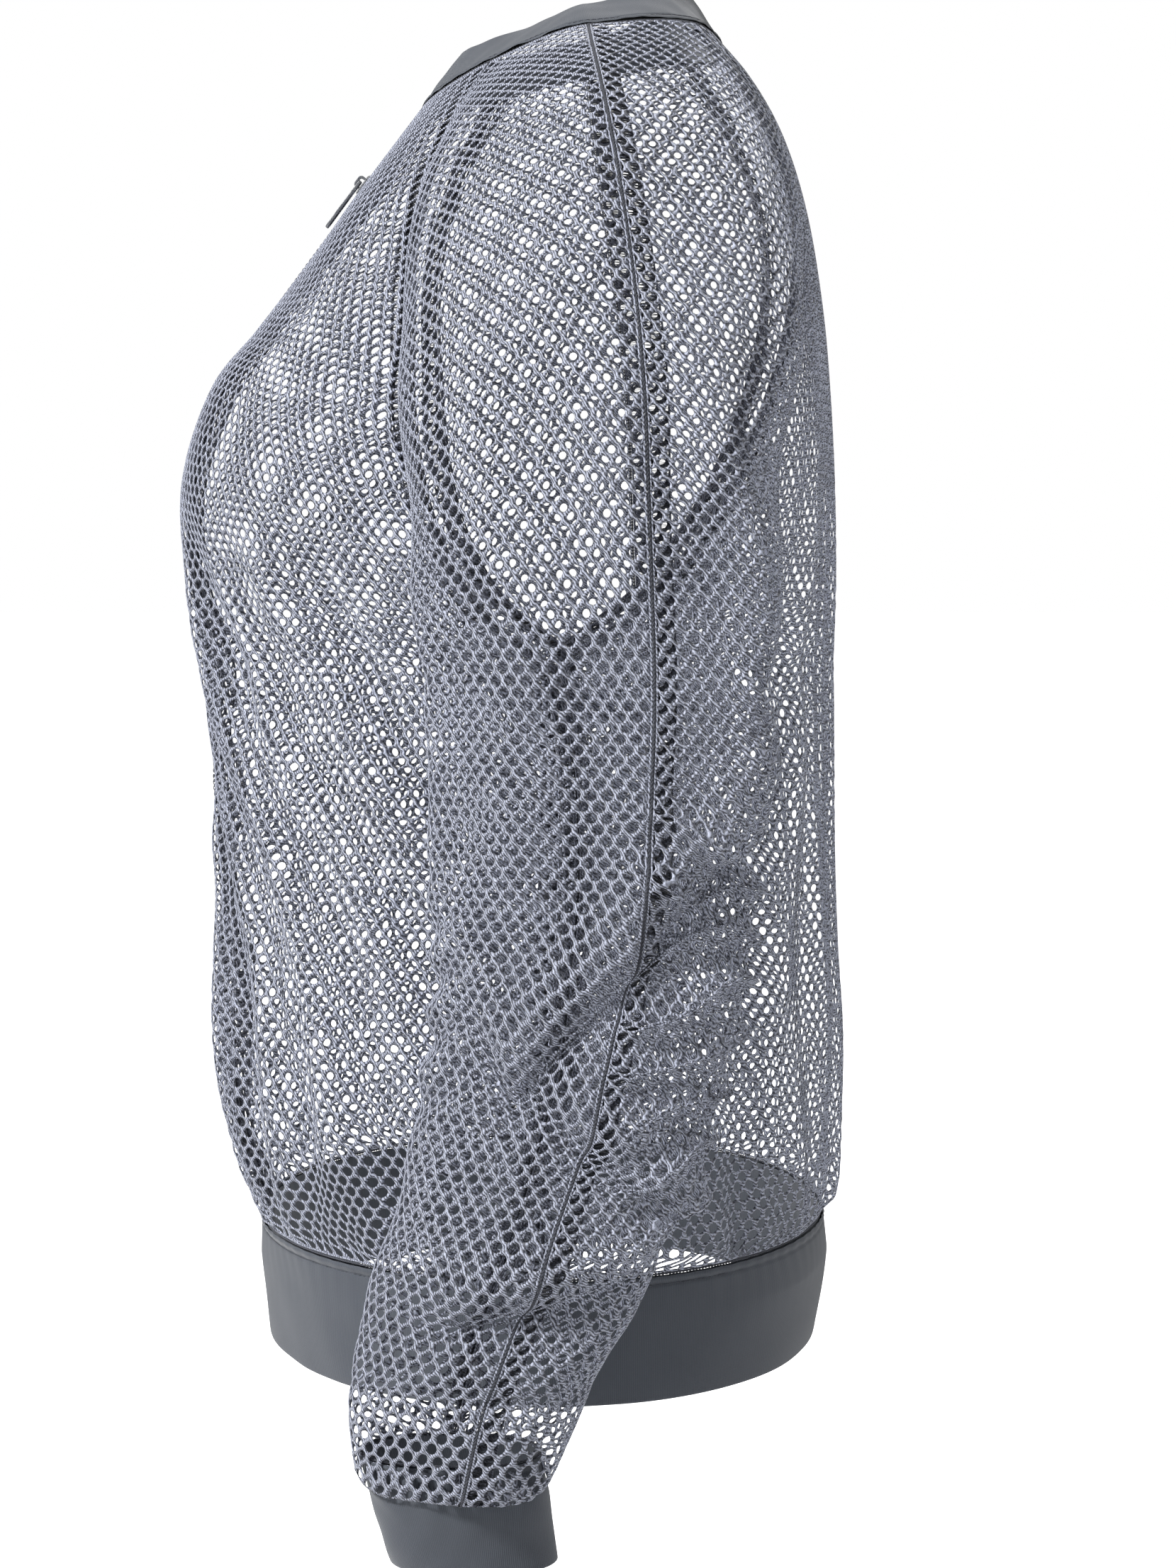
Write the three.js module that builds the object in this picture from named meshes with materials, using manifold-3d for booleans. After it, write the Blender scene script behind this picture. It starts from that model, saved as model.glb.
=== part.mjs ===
// A ventilated beekeeping jacket: raglan mesh body and sleeves, knit neckband, hem band and cuffs,
// and a separating zip down the front. Millimetres. X is the wearer's left, Y the wearer's back, Z up.
// The origin lies midway between the shoulders, level with the side neck points, where the jacket hangs.
import * as THREE from 'three';
import Module from 'manifold-3d';
import { mergeVertices } from 'three/addons/utils/BufferGeometryUtils.js';

// ---------------------------------------------------------------- driving dimensions

const HALF_CHEST = 166; // centre to underarm point, across
const FRONT_DEPTH = 159; // centre to the fullest part of the bust
const BACK_DEPTH = 151; // centre to the shoulder blades
const BACK_LENGTH = 557; // side neck point down to the hem seam

const CLOTH = 1.0; // mesh cloth, thickness
const KNIT = 1.8; // folded knit band, thickness
const THREAD = 1.4; // overlocked seam, diameter
const GAP = 0.35; // clearance between neighbouring pieces

const NECKBAND_WIDTH = 32;
const HEM_BAND_WIDTH = 58;
const CUFF_WIDTH = 47;
const CUFF_HALF_DEPTH = 34; // front to back at the open end
const CUFF_HALF_WIDTH = 21; // side to side at the open end

const SEAM_INSET = THREAD / 2 + GAP + 0.1; // each panel stops this far from the seam's middle
const THREAD_SIDES = 5;

const TEETH_INNER = 0.9; // from the centre line to each row of teeth
const TEETH_WIDTH = 2.5;
const TEETH_THICKNESS = 2.4;
const TAPE_WIDTH = 13;
const TAPE_THICKNESS = 0.6;

const SLIDER_LENGTH = 11;
const SLIDER_WIDTH = 9.4;
const PLATE = 1.1; // slider plates
const POST_WIDTH = 1.1; // joins the slider plates, between the teeth
const SLIDER_DOWN = 77; // from the top of the zip to the slider
const BAIL_WIDTH = 2.0;
const BAIL_LENGTH = 6.4;
const BAIL_BAR = 1.2;
const PULL_LENGTH = 27;
const PULL_WIDTH = 6.4;
const PULL_THICKNESS = 1.3;

// ---------------------------------------------------------------- the pattern, at its drafted size

// Body rows from the neck (first) to the hem (last); the underarm point is the ninth. Left half.
// centre: [y, z] on the centre line. reach: how far the row runs straight out from it.
// seam: the point on the raglan seam, then the side seam. lean: from that point back along the row.
const UNDERARM_ROW = 8;
const FRONT_ROWS = [
  { centre: [-45, -28], reach: 26, seam: [58, -11, -13], lean: [-8, -15, -6] },
  { centre: [-65, -54.6], reach: 34, seam: [78, -27, -42], lean: [-14, -18, -4] },
  { centre: [-85, -81.2], reach: 46, seam: [98, -40, -76], lean: [-17, -22, -3] },
  { centre: [-105, -107.8], reach: 56, seam: [114, -45, -108], lean: [-20, -28, 0] },
  { centre: [-125, -134.4], reach: 72, seam: [131, -45, -144], lean: [-20, -40, 0] },
  { centre: [-145, -161], reach: 84, seam: [148, -42, -184], lean: [-16, -52, 0] },
  { centre: [-159, -205], reach: 92, seam: [160, -33, -225], lean: [-22, -60, 0] },
  { centre: [-157, -248], reach: 92, seam: [166, -12, -264], lean: [-36, -66, 0] },
  { centre: [-152, -290], reach: 90, seam: [166, 20, -290], lean: [-42, -76, 0] },
  { centre: [-147, -332], reach: 90, seam: [157, 22, -332], lean: [-6, -92, 0] },
  { centre: [-143, -378], reach: 90, seam: [155, 22, -378], lean: [0, -92, 0] },
  { centre: [-144, -424], reach: 90, seam: [157, 20, -424], lean: [0, -92, 0] },
  { centre: [-145, -468], reach: 90, seam: [163, 17, -468], lean: [0, -92, 0] },
  { centre: [-139, -514], reach: 90, seam: [168, 15, -514], lean: [0, -88, 0] },
  { centre: [-124, -557], reach: 90, seam: [168, 14, -557], lean: [0, -80, 0] },
];
const BACK_ROWS = [
  { centre: [98, -1], reach: 28, seam: [58, 84, 4], lean: [-12, 8, -1] },
  { centre: [112, -20], reach: 40, seam: [74, 100, -18], lean: [-18, 9, 0] },
  { centre: [125, -44], reach: 50, seam: [91, 114, -44], lean: [-22, 8, 0] },
  { centre: [135, -76], reach: 58, seam: [106, 124, -72], lean: [-26, 7, 0] },
  { centre: [142, -112], reach: 66, seam: [123, 127, -105], lean: [-28, 10, 0] },
  { centre: [147, -150], reach: 76, seam: [140, 120, -148], lean: [-28, 20, 0] },
  { centre: [150, -196], reach: 84, seam: [155, 101, -198], lean: [-26, 34, 0] },
  { centre: [151, -244], reach: 88, seam: [165, 66, -252], lean: [-34, 54, 0] },
  { centre: [151, -290], reach: 88, seam: [166, 20, -290], lean: [-42, 72, 0] },
  { centre: [151, -332], reach: 88, seam: [157, 22, -332], lean: [-6, 76, 0] },
  { centre: [152, -378], reach: 88, seam: [155, 22, -378], lean: [0, 76, 0] },
  { centre: [154, -424], reach: 88, seam: [157, 20, -424], lean: [0, 78, 0] },
  { centre: [156, -468], reach: 90, seam: [163, 17, -468], lean: [0, 80, 0] },
  { centre: [154, -514], reach: 90, seam: [168, 15, -514], lean: [0, 80, 0] },
  { centre: [148, -557], reach: 90, seam: [168, 14, -557], lean: [0, 78, 0] },
];

// Sleeve cap rows, beside body rows 0 to 8. top: the point on the overarm seam. The leans run from the front
// raglan seam, from the overarm seam to the front and to the back, and from the back raglan seam.
const CAP_ROWS = [
  { top: [80, 34, 0], front: [6, 14, 5], topFront: [-2, -16, -2], topBack: [-1, 18, 1], back: [10, -16, 2] },
  { top: [118, 36, -15], front: [22, 6, 8], topFront: [-6, -22, -4], topBack: [-4, 22, 0], back: [22, -6, 6] },
  { top: [152, 39, -33], front: [34, -2, 8], topFront: [-8, -30, -6], topBack: [-6, 28, -2], back: [32, 2, 8] },
  { top: [182, 43, -56], front: [40, -8, 4], topFront: [-8, -42, -8], topBack: [-6, 34, -2], back: [38, 6, 8] },
  { top: [205, 48, -88], front: [40, -12, 2], topFront: [-6, -56, -6], topBack: [-4, 44, -2], back: [40, 10, 6] },
  { top: [221, 53, -125], front: [38, -20, 0], topFront: [-4, -68, -4], topBack: [-3, 52, 0], back: [38, 18, 2] },
  { top: [234, 57, -172], front: [34, -32, 0], topFront: [-2, -80, 0], topBack: [-2, 58, 0], back: [34, 32, 0] },
  { top: [243, 59, -228], front: [38, -56, 0], topFront: [0, -96, 0], topBack: [0, 66, 0], back: [38, 70, 0] },
  { top: [249, 61, -290], front: [44, -82, 0], topFront: [0, -106, 0], topBack: [0, 74, 0], back: [44, 98, 0] },
];

// Sleeve rings below the underarm, down to the cuff seam. inner and outer: the underarm and overarm seams.
// front, back: how far the ring reaches.
const ARM_RINGS = [
  { z: -332, inner: [175, 28], outer: [253, 60], front: -33, back: 105 },
  { z: -378, inner: [175, 30], outer: [256, 57], front: -33, back: 104 },
  { z: -424, inner: [178, 26], outer: [259, 47], front: -32, back: 100 },
  { z: -468, inner: [183, 20], outer: [262, 36], front: -36, back: 90 },
  { z: -510, inner: [189, 8], outer: [265, 22], front: -47, back: 74 },
  { z: -550, inner: [194, -6], outer: [266, 6], front: -58, back: 57 },
  { z: -585, inner: [199, -17], outer: [263, -8], front: -63, back: 36 },
  { z: -614, inner: [206, -25], outer: [255, -20], front: -62, back: 14 },
];
const CUFF_END = [231, -14, -614]; // above the middle of the cuff's open end

// The neckband leans towards the middle of the neck. In front it carries on the straight line of the chest.
// rise: its share of the band's width that goes up at the front, side and back; the rest goes inward.
const NECK_CENTRE = 27; // behind the origin
const BAND_RISE = { side: 0.42, back: 0.86 };
// How far the hem band draws in towards its lower edge.
const HEM_DRAW_IN = { front: 4, side: 4, back: 6 };

// ---------------------------------------------------------------- grading and curves

// Fits a drafted point to the driving dimensions.
function graded([x, y, z]) {
  const depth = y < 0 ? FRONT_DEPTH / 159 : BACK_DEPTH / 151;
  return new THREE.Vector3((x * HALF_CHEST) / 166, y * depth, (z * BACK_LENGTH) / 557);
}

const span = ([x, y, z]) => graded([x, 0, 0]).add(graded([0, y, z]));

// A smooth curve through points, t from 0 to 1, as an even step from each point to the next. Just past
// either end it goes straight on.
function through(points) {
  const curve = new THREE.CatmullRomCurve3(points, false, 'catmullrom', 0.5);
  const beyond = (end, t) => curve.getPoint(end).multiplyScalar(2).sub(curve.getPoint(t));
  return (t) => (t < 0 ? beyond(0, -t) : t > 1 ? beyond(1, 2 - t) : curve.getPoint(t));
}

// A smooth curve that turns a corner at the point numbered corner.
function throughCorner(points, corner) {
  const before = through(points.slice(0, corner + 1));
  const after = through(points.slice(corner));
  const share = corner / (points.length - 1);
  return (t) => (t < share ? before(t / share) : after((t - share) / (1 - share)));
}

const row = (start, reach, lean, end, t) =>
  new THREE.CubicBezierCurve3(start, start.clone().add(reach), end.clone().add(lean), end).getPoint(t);

// ---------------------------------------------------------------- the cloth surfaces, left side

const PANEL_EDGE = TEETH_INNER + TEETH_WIDTH + GAP; // front panel edge, beside the teeth

function bodySurface(rows, edge) {
  const centre = through(rows.map((r) => graded([0, ...r.centre]).setX(edge)));
  const reach = through(rows.map((r) => span([r.reach, 0, 0])));
  const seam = throughCorner(rows.map((r) => graded(r.seam)), UNDERARM_ROW);
  const lean = through(rows.map((r) => span(r.lean)));
  return (u, v) => row(centre(v), reach(v), lean(v), seam(v), u);
}

const frontSurface = bodySurface(FRONT_ROWS, PANEL_EDGE);
const backSurface = bodySurface(BACK_ROWS, 0);

// Half a sleeve ring as a row: a lean this long makes it reach its front or back edge.
function ringLean(from, inner, outer, edge) {
  const control = (8 * edge - inner[1] - outer[1]) / 6;
  return [0, control - from[1], 0];
}

function sleeveSurface(side) {
  const body = side === 'front' ? FRONT_ROWS : BACK_ROWS;
  const topLean = side === 'front' ? 'topFront' : 'topBack';
  const cap = CAP_ROWS.map((r, i) => ({
    start: body[i].seam, end: r.top, lean: r[side], topLean: r[topLean],
  }));
  const arm = ARM_RINGS.map((r) => ({
    start: [...r.inner, r.z], end: [...r.outer, r.z],
    lean: ringLean(r.inner, r.inner, r.outer, r[side]), topLean: ringLean(r.outer, r.inner, r.outer, r[side]),
  }));
  const rows = [...cap, ...arm];
  const start = throughCorner(rows.map((r) => graded(r.start)), UNDERARM_ROW);
  const end = through(rows.map((r) => graded(r.end)));
  const lean = through(rows.map((r) => span(r.lean)));
  const topCurve = through(rows.map((r) => span(r.topLean)));
  return (u, v) => row(start(v), lean(v), topCurve(v), end(v), u);
}

const sleeveFront = sleeveSurface('front');
const sleeveBack = sleeveSurface('back');

// The chest falls in a straight line from the neck to the fifth row. This is the way up it.
const CHEST_UP = graded([0, ...FRONT_ROWS[0].centre]).sub(graded([0, ...FRONT_ROWS[4].centre])).normalize();

// The neck seam, from the centre front (0) over the shoulder to the centre back (1).
const NECK_FRONT_SHARE = 0.3;
function neckSeam(t) {
  const [front, cap, capBack, back] = [NECK_FRONT_SHARE, 0.5, 0.7, 1];
  if (t < front) return frontSurface(t / front, 0);
  if (t < cap) return sleeveFront((t - front) / (cap - front), 0);
  if (t < capBack) return sleeveBack(1 - (t - cap) / (capBack - cap), 0);
  return backSurface(1 - (t - capBack) / (back - capBack), 0);
}

// The hem seam, from the centre front (0) to the centre back (1).
const hemSeam = (t) => (t < 0.5 ? frontSurface(t * 2, 1) : backSurface(2 - t * 2, 1));

// The cuff seam, once round from the underarm seam (0) through the front and the overarm seam (0.5).
const cuffSeam = (t) => (t < 0.5 ? sleeveFront(t * 2, 1) : sleeveBack(2 - t * 2, 1));

// Blends front, side and back values round half a loop.
function roundLoop(values, t) {
  const [a, b, c] = [values.front, values.side, values.back].map((p) => new THREE.Vector3(...p));
  const turn = (s) => (1 - Math.cos(Math.PI * s)) / 2;
  return t < 0.5 ? a.lerp(b, turn(t * 2)) : b.lerp(c, turn(t * 2 - 1));
}

function neckbandSurface(t, w) {
  const seam = neckSeam(t);
  const rise = roundLoop({ front: [CHEST_UP.z, 0, 0], side: [BAND_RISE.side, 0, 0], back: [BAND_RISE.back, 0, 0] }, t).x;
  const inward = new THREE.Vector3(-seam.x, NECK_CENTRE - seam.y, 0);
  if (t < NECK_FRONT_SHARE) inward.x *= Math.sin((Math.PI / 2) * (t / NECK_FRONT_SHARE));
  const lean = inward.setLength(Math.sqrt(1 - rise * rise)).setZ(rise);
  return seam.addScaledVector(lean, w * NECKBAND_WIDTH);
}

function hemBandSurface(t, w) {
  const { front, side, back } = HEM_DRAW_IN;
  const inward = roundLoop({ front: [0, front, 0], side: [-side, 0, 0], back: [0, -back, 0] }, t);
  return hemSeam(t).addScaledVector(inward, w).add(new THREE.Vector3(0, 0, -w * HEM_BAND_WIDTH));
}

function cuffSurface(t, w) {
  const seam = cuffSeam(t);
  const angle = 2 * Math.PI * t;
  const middle = graded(CUFF_END);
  const end = new THREE.Vector3(
    middle.x - CUFF_HALF_WIDTH * Math.cos(angle),
    middle.y - CUFF_HALF_DEPTH * Math.sin(angle),
    middle.z,
  );
  return seam.lerp(end, w).add(new THREE.Vector3(0, 0, -w * CUFF_WIDTH));
}

const mirrored = (surface) => (u, v) => surface(u, v).multiply(new THREE.Vector3(-1, 1, 1));

// Both halves of a surface as one, u from -1 on the wearer's right to 1 on the left.
const bothHalves = (surface) => (u, v) => {
  const p = surface(Math.abs(u), v);
  return u < 0 ? p.multiply(new THREE.Vector3(-1, 1, 1)) : p;
};

// ---------------------------------------------------------------- solids

function solid(points, faces) {
  let geometry = new THREE.BufferGeometry();
  geometry.setAttribute('position', new THREE.Float32BufferAttribute(points.flatMap((p) => p.toArray()), 3));
  const volume = faces.reduce((sum, [a, b, c]) =>
    sum + points[a].dot(new THREE.Vector3().crossVectors(points[b], points[c])), 0);
  geometry.setIndex((volume > 0 ? faces : faces.map(([a, b, c]) => [a, c, b])).flat());
  geometry = mergeVertices(geometry, 1e-3);
  geometry.computeVertexNormals();
  return geometry;
}

function normalAt(surface, u, v) {
  const step = 1e-3;
  const along = surface(u + step, v).sub(surface(u - step, v));
  const down = surface(u, v + step).sub(surface(u, v - step));
  return along.cross(down).normalize();
}

// A cloth solid between two offsets of a surface. from and to are the [u, v] corners of the cut piece;
// inset is kept clear along the edges named in seams. spread places the columns. closed joins the last column
// to the first.
function clothPiece(surface, { from = [0, 0], to = [1, 1], across, down, thickness = CLOTH, offset = 0,
  seams = 'left right top bottom', inset = SEAM_INSET, spread = (s) => s, closed = false }) {
  const trim = (name) => (seams.includes(name) ? inset : 0);
  const length = (a, b) => a.distanceTo(b) / 1e-3;
  const place = (i, j) => {
    const [s, t] = [spread(i / across), j / down];
    const [u0, v0] = [from[0] + s * (to[0] - from[0]), from[1] + t * (to[1] - from[1])];
    const perU = length(surface(u0 - 5e-4, v0), surface(u0 + 5e-4, v0));
    const perV = length(surface(u0, v0 - 5e-4), surface(u0, v0 + 5e-4));
    const u = u0 + ((1 - s) * trim('left') - s * trim('right')) / perU;
    const v = v0 + ((1 - t) * trim('top') - t * trim('bottom')) / perV;
    return [u, v];
  };
  const points = [];
  const columns = closed ? across : across + 1;
  for (const sign of [1, -1]) {
    for (let i = 0; i < columns; i++) {
      for (let j = 0; j <= down; j++) {
        const [u, v] = place(i, j);
        points.push(surface(u, v).addScaledVector(normalAt(surface, u, v), offset + (sign * thickness) / 2));
      }
    }
  }
  const at = (layer, i, j) => layer * columns * (down + 1) + (i % columns) * (down + 1) + j;
  const faces = [];
  const quad = (a, b, c, d) => faces.push([a, b, c], [a, c, d]);
  for (let i = 0; i < across; i++) {
    for (let j = 0; j < down; j++) {
      quad(at(0, i, j), at(0, i + 1, j), at(0, i + 1, j + 1), at(0, i, j + 1));
      quad(at(1, i, j), at(1, i, j + 1), at(1, i + 1, j + 1), at(1, i + 1, j));
    }
    quad(at(1, i, 0), at(1, i + 1, 0), at(0, i + 1, 0), at(0, i, 0));
    quad(at(0, i, down), at(0, i + 1, down), at(1, i + 1, down), at(1, i, down));
  }
  for (let j = 0; j < down && !closed; j++) {
    quad(at(0, 0, j), at(0, 0, j + 1), at(1, 0, j + 1), at(1, 0, j));
    quad(at(1, across, j), at(1, across, j + 1), at(0, across, j + 1), at(0, across, j));
  }
  return solid(points, faces);
}

// Columns that crowd towards the front edges, where the zip tape lies close behind the cloth.
const CROWDING = 1.5;
const crowdLeft = (s) => s ** CROWDING;
const crowdEnds = (s) => {
  const side = Math.abs(2 * s - 1);
  return 0.5 + Math.sign(s - 0.5) * 0.5 * (1 - (1 - side) ** CROWDING);
};

// A seam thread along a curve, its ends left clear of the seams that it meets. closed joins it into a ring.
function seamThread(curve, steps, { clear = 3.4, closed = false } = {}) {
  const path = Array.from({ length: steps + 1 }, (_, i) => curve(i / steps));
  if (closed) path.pop();
  const count = path.length;
  const next = (i) => (closed ? path[(i + 1) % count] : path[Math.min(i + 1, count - 1)]);
  const previous = (i) => (closed ? path[(i + count - 1) % count] : path[Math.max(i - 1, 0)]);
  const directions = path.map((_, i) => next(i).clone().sub(previous(i)).normalize());
  if (!closed) {
    path[0].addScaledVector(directions[0], clear);
    path[count - 1].addScaledVector(directions[count - 1], -clear);
  }
  const sides = THREAD_SIDES;
  const rings = [];
  const faces = [];
  let normal = new THREE.Vector3(0.3, 0.5, 0.8);
  path.forEach((centre, i) => {
    normal = normal.projectOnPlane(directions[i]).normalize();
    const binormal = new THREE.Vector3().crossVectors(directions[i], normal);
    for (let k = 0; k < sides; k++) {
      const angle = (2 * Math.PI * k) / sides;
      rings.push(centre.clone()
        .addScaledVector(normal, (THREAD / 2) * Math.cos(angle))
        .addScaledVector(binormal, (THREAD / 2) * Math.sin(angle)));
    }
  });
  // A ring that has turned on its way round is joined to the first with the least twist.
  const twist = (shift) => rings.slice(0, sides).reduce((sum, p, k) =>
    sum + p.distanceTo(rings[(count - 1) * sides + ((k + shift) % sides)]), 0);
  const shift = [...Array(sides).keys()].reduce((best, s) => (twist(s) < twist(best) ? s : best), 0);
  for (let i = 0; i < (closed ? count : count - 1); i++) {
    for (let k = 0; k < sides; k++) {
      const wraps = i === count - 1;
      const far = (n) => (wraps ? (n + sides - shift) % sides : (i + 1) * sides + (n % sides));
      const [a, b] = [i * sides + k, i * sides + ((k + 1) % sides)];
      faces.push([a, b, far(k + 1)], [a, far(k + 1), far(k)]);
    }
  }
  for (let k = 1; k < sides - 1 && !closed; k++) {
    const end = (count - 1) * sides;
    faces.push([0, k + 1, k], [end, end + k, end + k + 1]);
  }
  return solid(rings, faces);
}

// A box in a local frame: along X, Y and Z from low to high.
function box(low, high) {
  const size = high.map((h, i) => h - low[i]);
  return new THREE.BoxGeometry(...size).translate(...high.map((h, i) => (h + low[i]) / 2));
}

// A flat plate, its outline in X and Y, raised along Z from bottom to top.
function plate(outline, bottom, top, holes = []) {
  const shape = new THREE.Shape(outline.map(([x, y]) => new THREE.Vector2(x, y)));
  for (const hole of holes) shape.holes.push(new THREE.Path(hole.map(([x, y]) => new THREE.Vector2(x, y))));
  return new THREE.ExtrudeGeometry(shape, { depth: top - bottom, bevelEnabled: false }).translate(0, 0, bottom);
}

const rectangle = (x, y0, y1) => [[-x, y0], [x, y0], [x, y1], [-x, y1]];

// ---------------------------------------------------------------- materials

const finish = (color, roughness, metalness = 0) =>
  new THREE.MeshStandardMaterial({ color, roughness, metalness });
const meshCloth = finish(0x9aa0b2, 0.8);
const knitCloth = finish(0x585e69, 0.85);
const threadGrey = finish(0x6b7080, 0.75);
const zipTape = finish(0x4d525d, 0.85);
const zipTeeth = finish(0x3f444d, 0.45);
const enamel = finish(0x565c68, 0.35, 0.7);

const jacket = new THREE.Group();
jacket.name = 'beekeeping_jacket';

function add(name, geometry, material, parent = jacket) {
  const mesh = new THREE.Mesh(geometry, material);
  mesh.name = name;
  parent.add(mesh);
  return mesh;
}

// ---------------------------------------------------------------- mesh panels and seams

// Facets down the pieces, two to each drafted row, so that edges and threads bend at the same places.
const BODY_STEPS = 2 * (FRONT_ROWS.length - 1);
const SLEEVE_STEPS = 2 * (CAP_ROWS.length + ARM_RINGS.length - 1);
const RAGLAN_STEPS = 2 * UNDERARM_ROW;
const BAND_STEPS = 2;
const UNDERARM_BODY = RAGLAN_STEPS / BODY_STEPS;
const UNDERARM_SLEEVE = RAGLAN_STEPS / SLEEVE_STEPS;
const between = (a, b, t) => a + (b - a) * t;

for (const [side, way] of [['left', (s) => s], ['right', mirrored]]) {
  const front = way(frontSurface);
  const [sleeveA, sleeveB] = [way(sleeveFront), way(sleeveBack)];
  add(`front_panel_${side}`, clothPiece(front, { across: 8, down: BODY_STEPS, seams: 'right top bottom', spread: crowdLeft }), meshCloth);
  add(`sleeve_front_${side}`, clothPiece(sleeveA, { across: 7, down: SLEEVE_STEPS }), meshCloth);
  add(`sleeve_back_${side}`, clothPiece(sleeveB, { across: 7, down: SLEEVE_STEPS }), meshCloth);

  const back = way(backSurface);
  const threads = {
    overarm: [(t) => sleeveA(1, t), SLEEVE_STEPS],
    front_raglan: [(t) => front(1, between(0, UNDERARM_BODY, t)), RAGLAN_STEPS],
    back_raglan: [(t) => back(1, between(0, UNDERARM_BODY, t)), RAGLAN_STEPS],
    side: [(t) => front(1, between(UNDERARM_BODY, 1, t)), BODY_STEPS - RAGLAN_STEPS],
    underarm: [(t) => sleeveA(0, between(UNDERARM_SLEEVE, 1, t)), SLEEVE_STEPS - RAGLAN_STEPS],
  };
  for (const [seam, [curve, steps]] of Object.entries(threads)) {
    add(`${seam}_seam_${side}`, seamThread(curve, steps), threadGrey);
  }

  const seamLoop = way((t) => cuffSeam(t));
  add(`cuff_seam_${side}`, seamThread((t) => seamLoop(t % 1), 20, { closed: true }), threadGrey);
  add(`cuff_${side}`, clothPiece(way((t, w) => cuffSurface(((t % 1) + 1) % 1, w)), {
    across: 20, down: 2, thickness: KNIT, seams: 'top', closed: true,
  }), knitCloth);
}

add('back_panel', clothPiece(bothHalves(backSurface), { from: [-1, 0], across: 16, down: BODY_STEPS }), meshCloth);

// Loops that run from the left front edge round the back to the right front edge.
const roundBody = (loop) => (t, w) => bothHalves((u, v) => loop(1 - u, v))(t, w);
const neckLoop = roundBody(neckbandSurface);
const hemLoop = roundBody(hemBandSurface);
add('neck_seam', seamThread((t) => neckLoop(2 * crowdEnds(t) - 1, 0), 32, { clear: 0.2 }), threadGrey);
add('hem_seam', seamThread((t) => hemLoop(2 * crowdEnds(t) - 1, 0), 40, { clear: 0.2 }), threadGrey);
add('neckband', clothPiece(neckLoop, {
  from: [-1, 0], across: 32, down: BAND_STEPS, thickness: KNIT, seams: 'top', spread: crowdEnds,
}), knitCloth);
add('hem_band', clothPiece(hemLoop, {
  from: [-1, 0], across: 40, down: BAND_STEPS, thickness: KNIT, seams: 'top', spread: crowdEnds,
}), knitCloth);

// ---------------------------------------------------------------- the front zip

// The jacket's front from the top of the neckband (0) to the bottom of the hem band (1).
// x: distance from the front edge. Each of the three stretches takes its own share of v.
const ZIP_STEPS = BODY_STEPS + 2 * BAND_STEPS;
const ZIP_NECK = BAND_STEPS / ZIP_STEPS;
const ZIP_HEM = 1 - ZIP_NECK;
function frontLayer(x, v) {
  const along = (r) => x / (3 * span([r.reach, 0, 0]).x);
  if (v < ZIP_NECK) return neckbandSurface(NECK_FRONT_SHARE * along(FRONT_ROWS[0]), 1 - v / ZIP_NECK);
  const last = FRONT_ROWS[FRONT_ROWS.length - 1];
  if (v > ZIP_HEM) return hemBandSurface(0.5 * along(last), (v - ZIP_HEM) / (1 - ZIP_HEM));
  const down = (v - ZIP_NECK) / (ZIP_HEM - ZIP_NECK);
  const place = down * (FRONT_ROWS.length - 1);
  const [above, below] = [Math.floor(place), Math.ceil(place)].map((i) => FRONT_ROWS[i].reach);
  return frontSurface(along({ reach: between(above, below, place - Math.floor(place)) }), down);
}

// The teeth run along the same line, at x from the centre line.
const zipLine = (x, v) => frontLayer(0, v).setX(x);
const ZIP_TOP = frontLayer(0, 0).setX(0);
const ZIP_BOTTOM = frontLayer(0, 1).setX(0);
const NECK_STOP = 4 / NECKBAND_WIDTH * ZIP_NECK; // the teeth start 4 mm below the top
const BOX_HEIGHT = 8;
const HEM_STOP = 1 - (BOX_HEIGHT + 1) / HEM_BAND_WIDTH * (1 - ZIP_HEM);
const TAPE_DEPTH = KNIT / 2 + GAP + TAPE_THICKNESS / 2; // behind the middle of the cloth
const STOP_HEIGHT = 2.6;

// Frames on the zip line, Y up along it and Z outward from the chest.
function frameAt(point, up) {
  const frame = new THREE.Group();
  frame.position.copy(point);
  frame.rotation.x = Math.atan2(up.z, up.y);
  jacket.add(frame);
  return frame;
}
const topFrame = frameAt(ZIP_TOP, CHEST_UP);
const hemUp = zipLine(0, ZIP_HEM).sub(ZIP_BOTTOM).normalize();
const bottomFrame = frameAt(ZIP_BOTTOM, hemUp);

for (const [side, sign] of [['left', 1], ['right', -1]]) {
  const teeth = sign > 0 ? zipLine : mirrored(zipLine);
  const layer = sign > 0 ? frontLayer : mirrored(frontLayer);
  add(`zip_teeth_${side}`, clothPiece(teeth, {
    from: [TEETH_INNER, NECK_STOP], to: [TEETH_INNER + TEETH_WIDTH, HEM_STOP],
    across: 1, down: ZIP_STEPS, thickness: TEETH_THICKNESS, seams: '',
  }), zipTeeth);
  add(`zip_tape_${side}`, clothPiece(layer, {
    to: [TAPE_WIDTH, 1], across: 1, down: ZIP_STEPS,
    thickness: TAPE_THICKNESS, offset: sign * TAPE_DEPTH, seams: 'top bottom', inset: GAP,
  }), zipTape);
  const [inner, outer] = [TEETH_INNER, TEETH_INNER + TEETH_WIDTH].map((x) => sign * x);
  add(`zip_top_stop_${side}`, box(
    [Math.min(inner, outer), -4 + GAP, -TEETH_THICKNESS / 2 - 0.3],
    [Math.max(inner, outer), -4 + GAP + STOP_HEIGHT, TEETH_THICKNESS / 2 + 0.3],
  ), enamel, topFrame);
}

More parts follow.
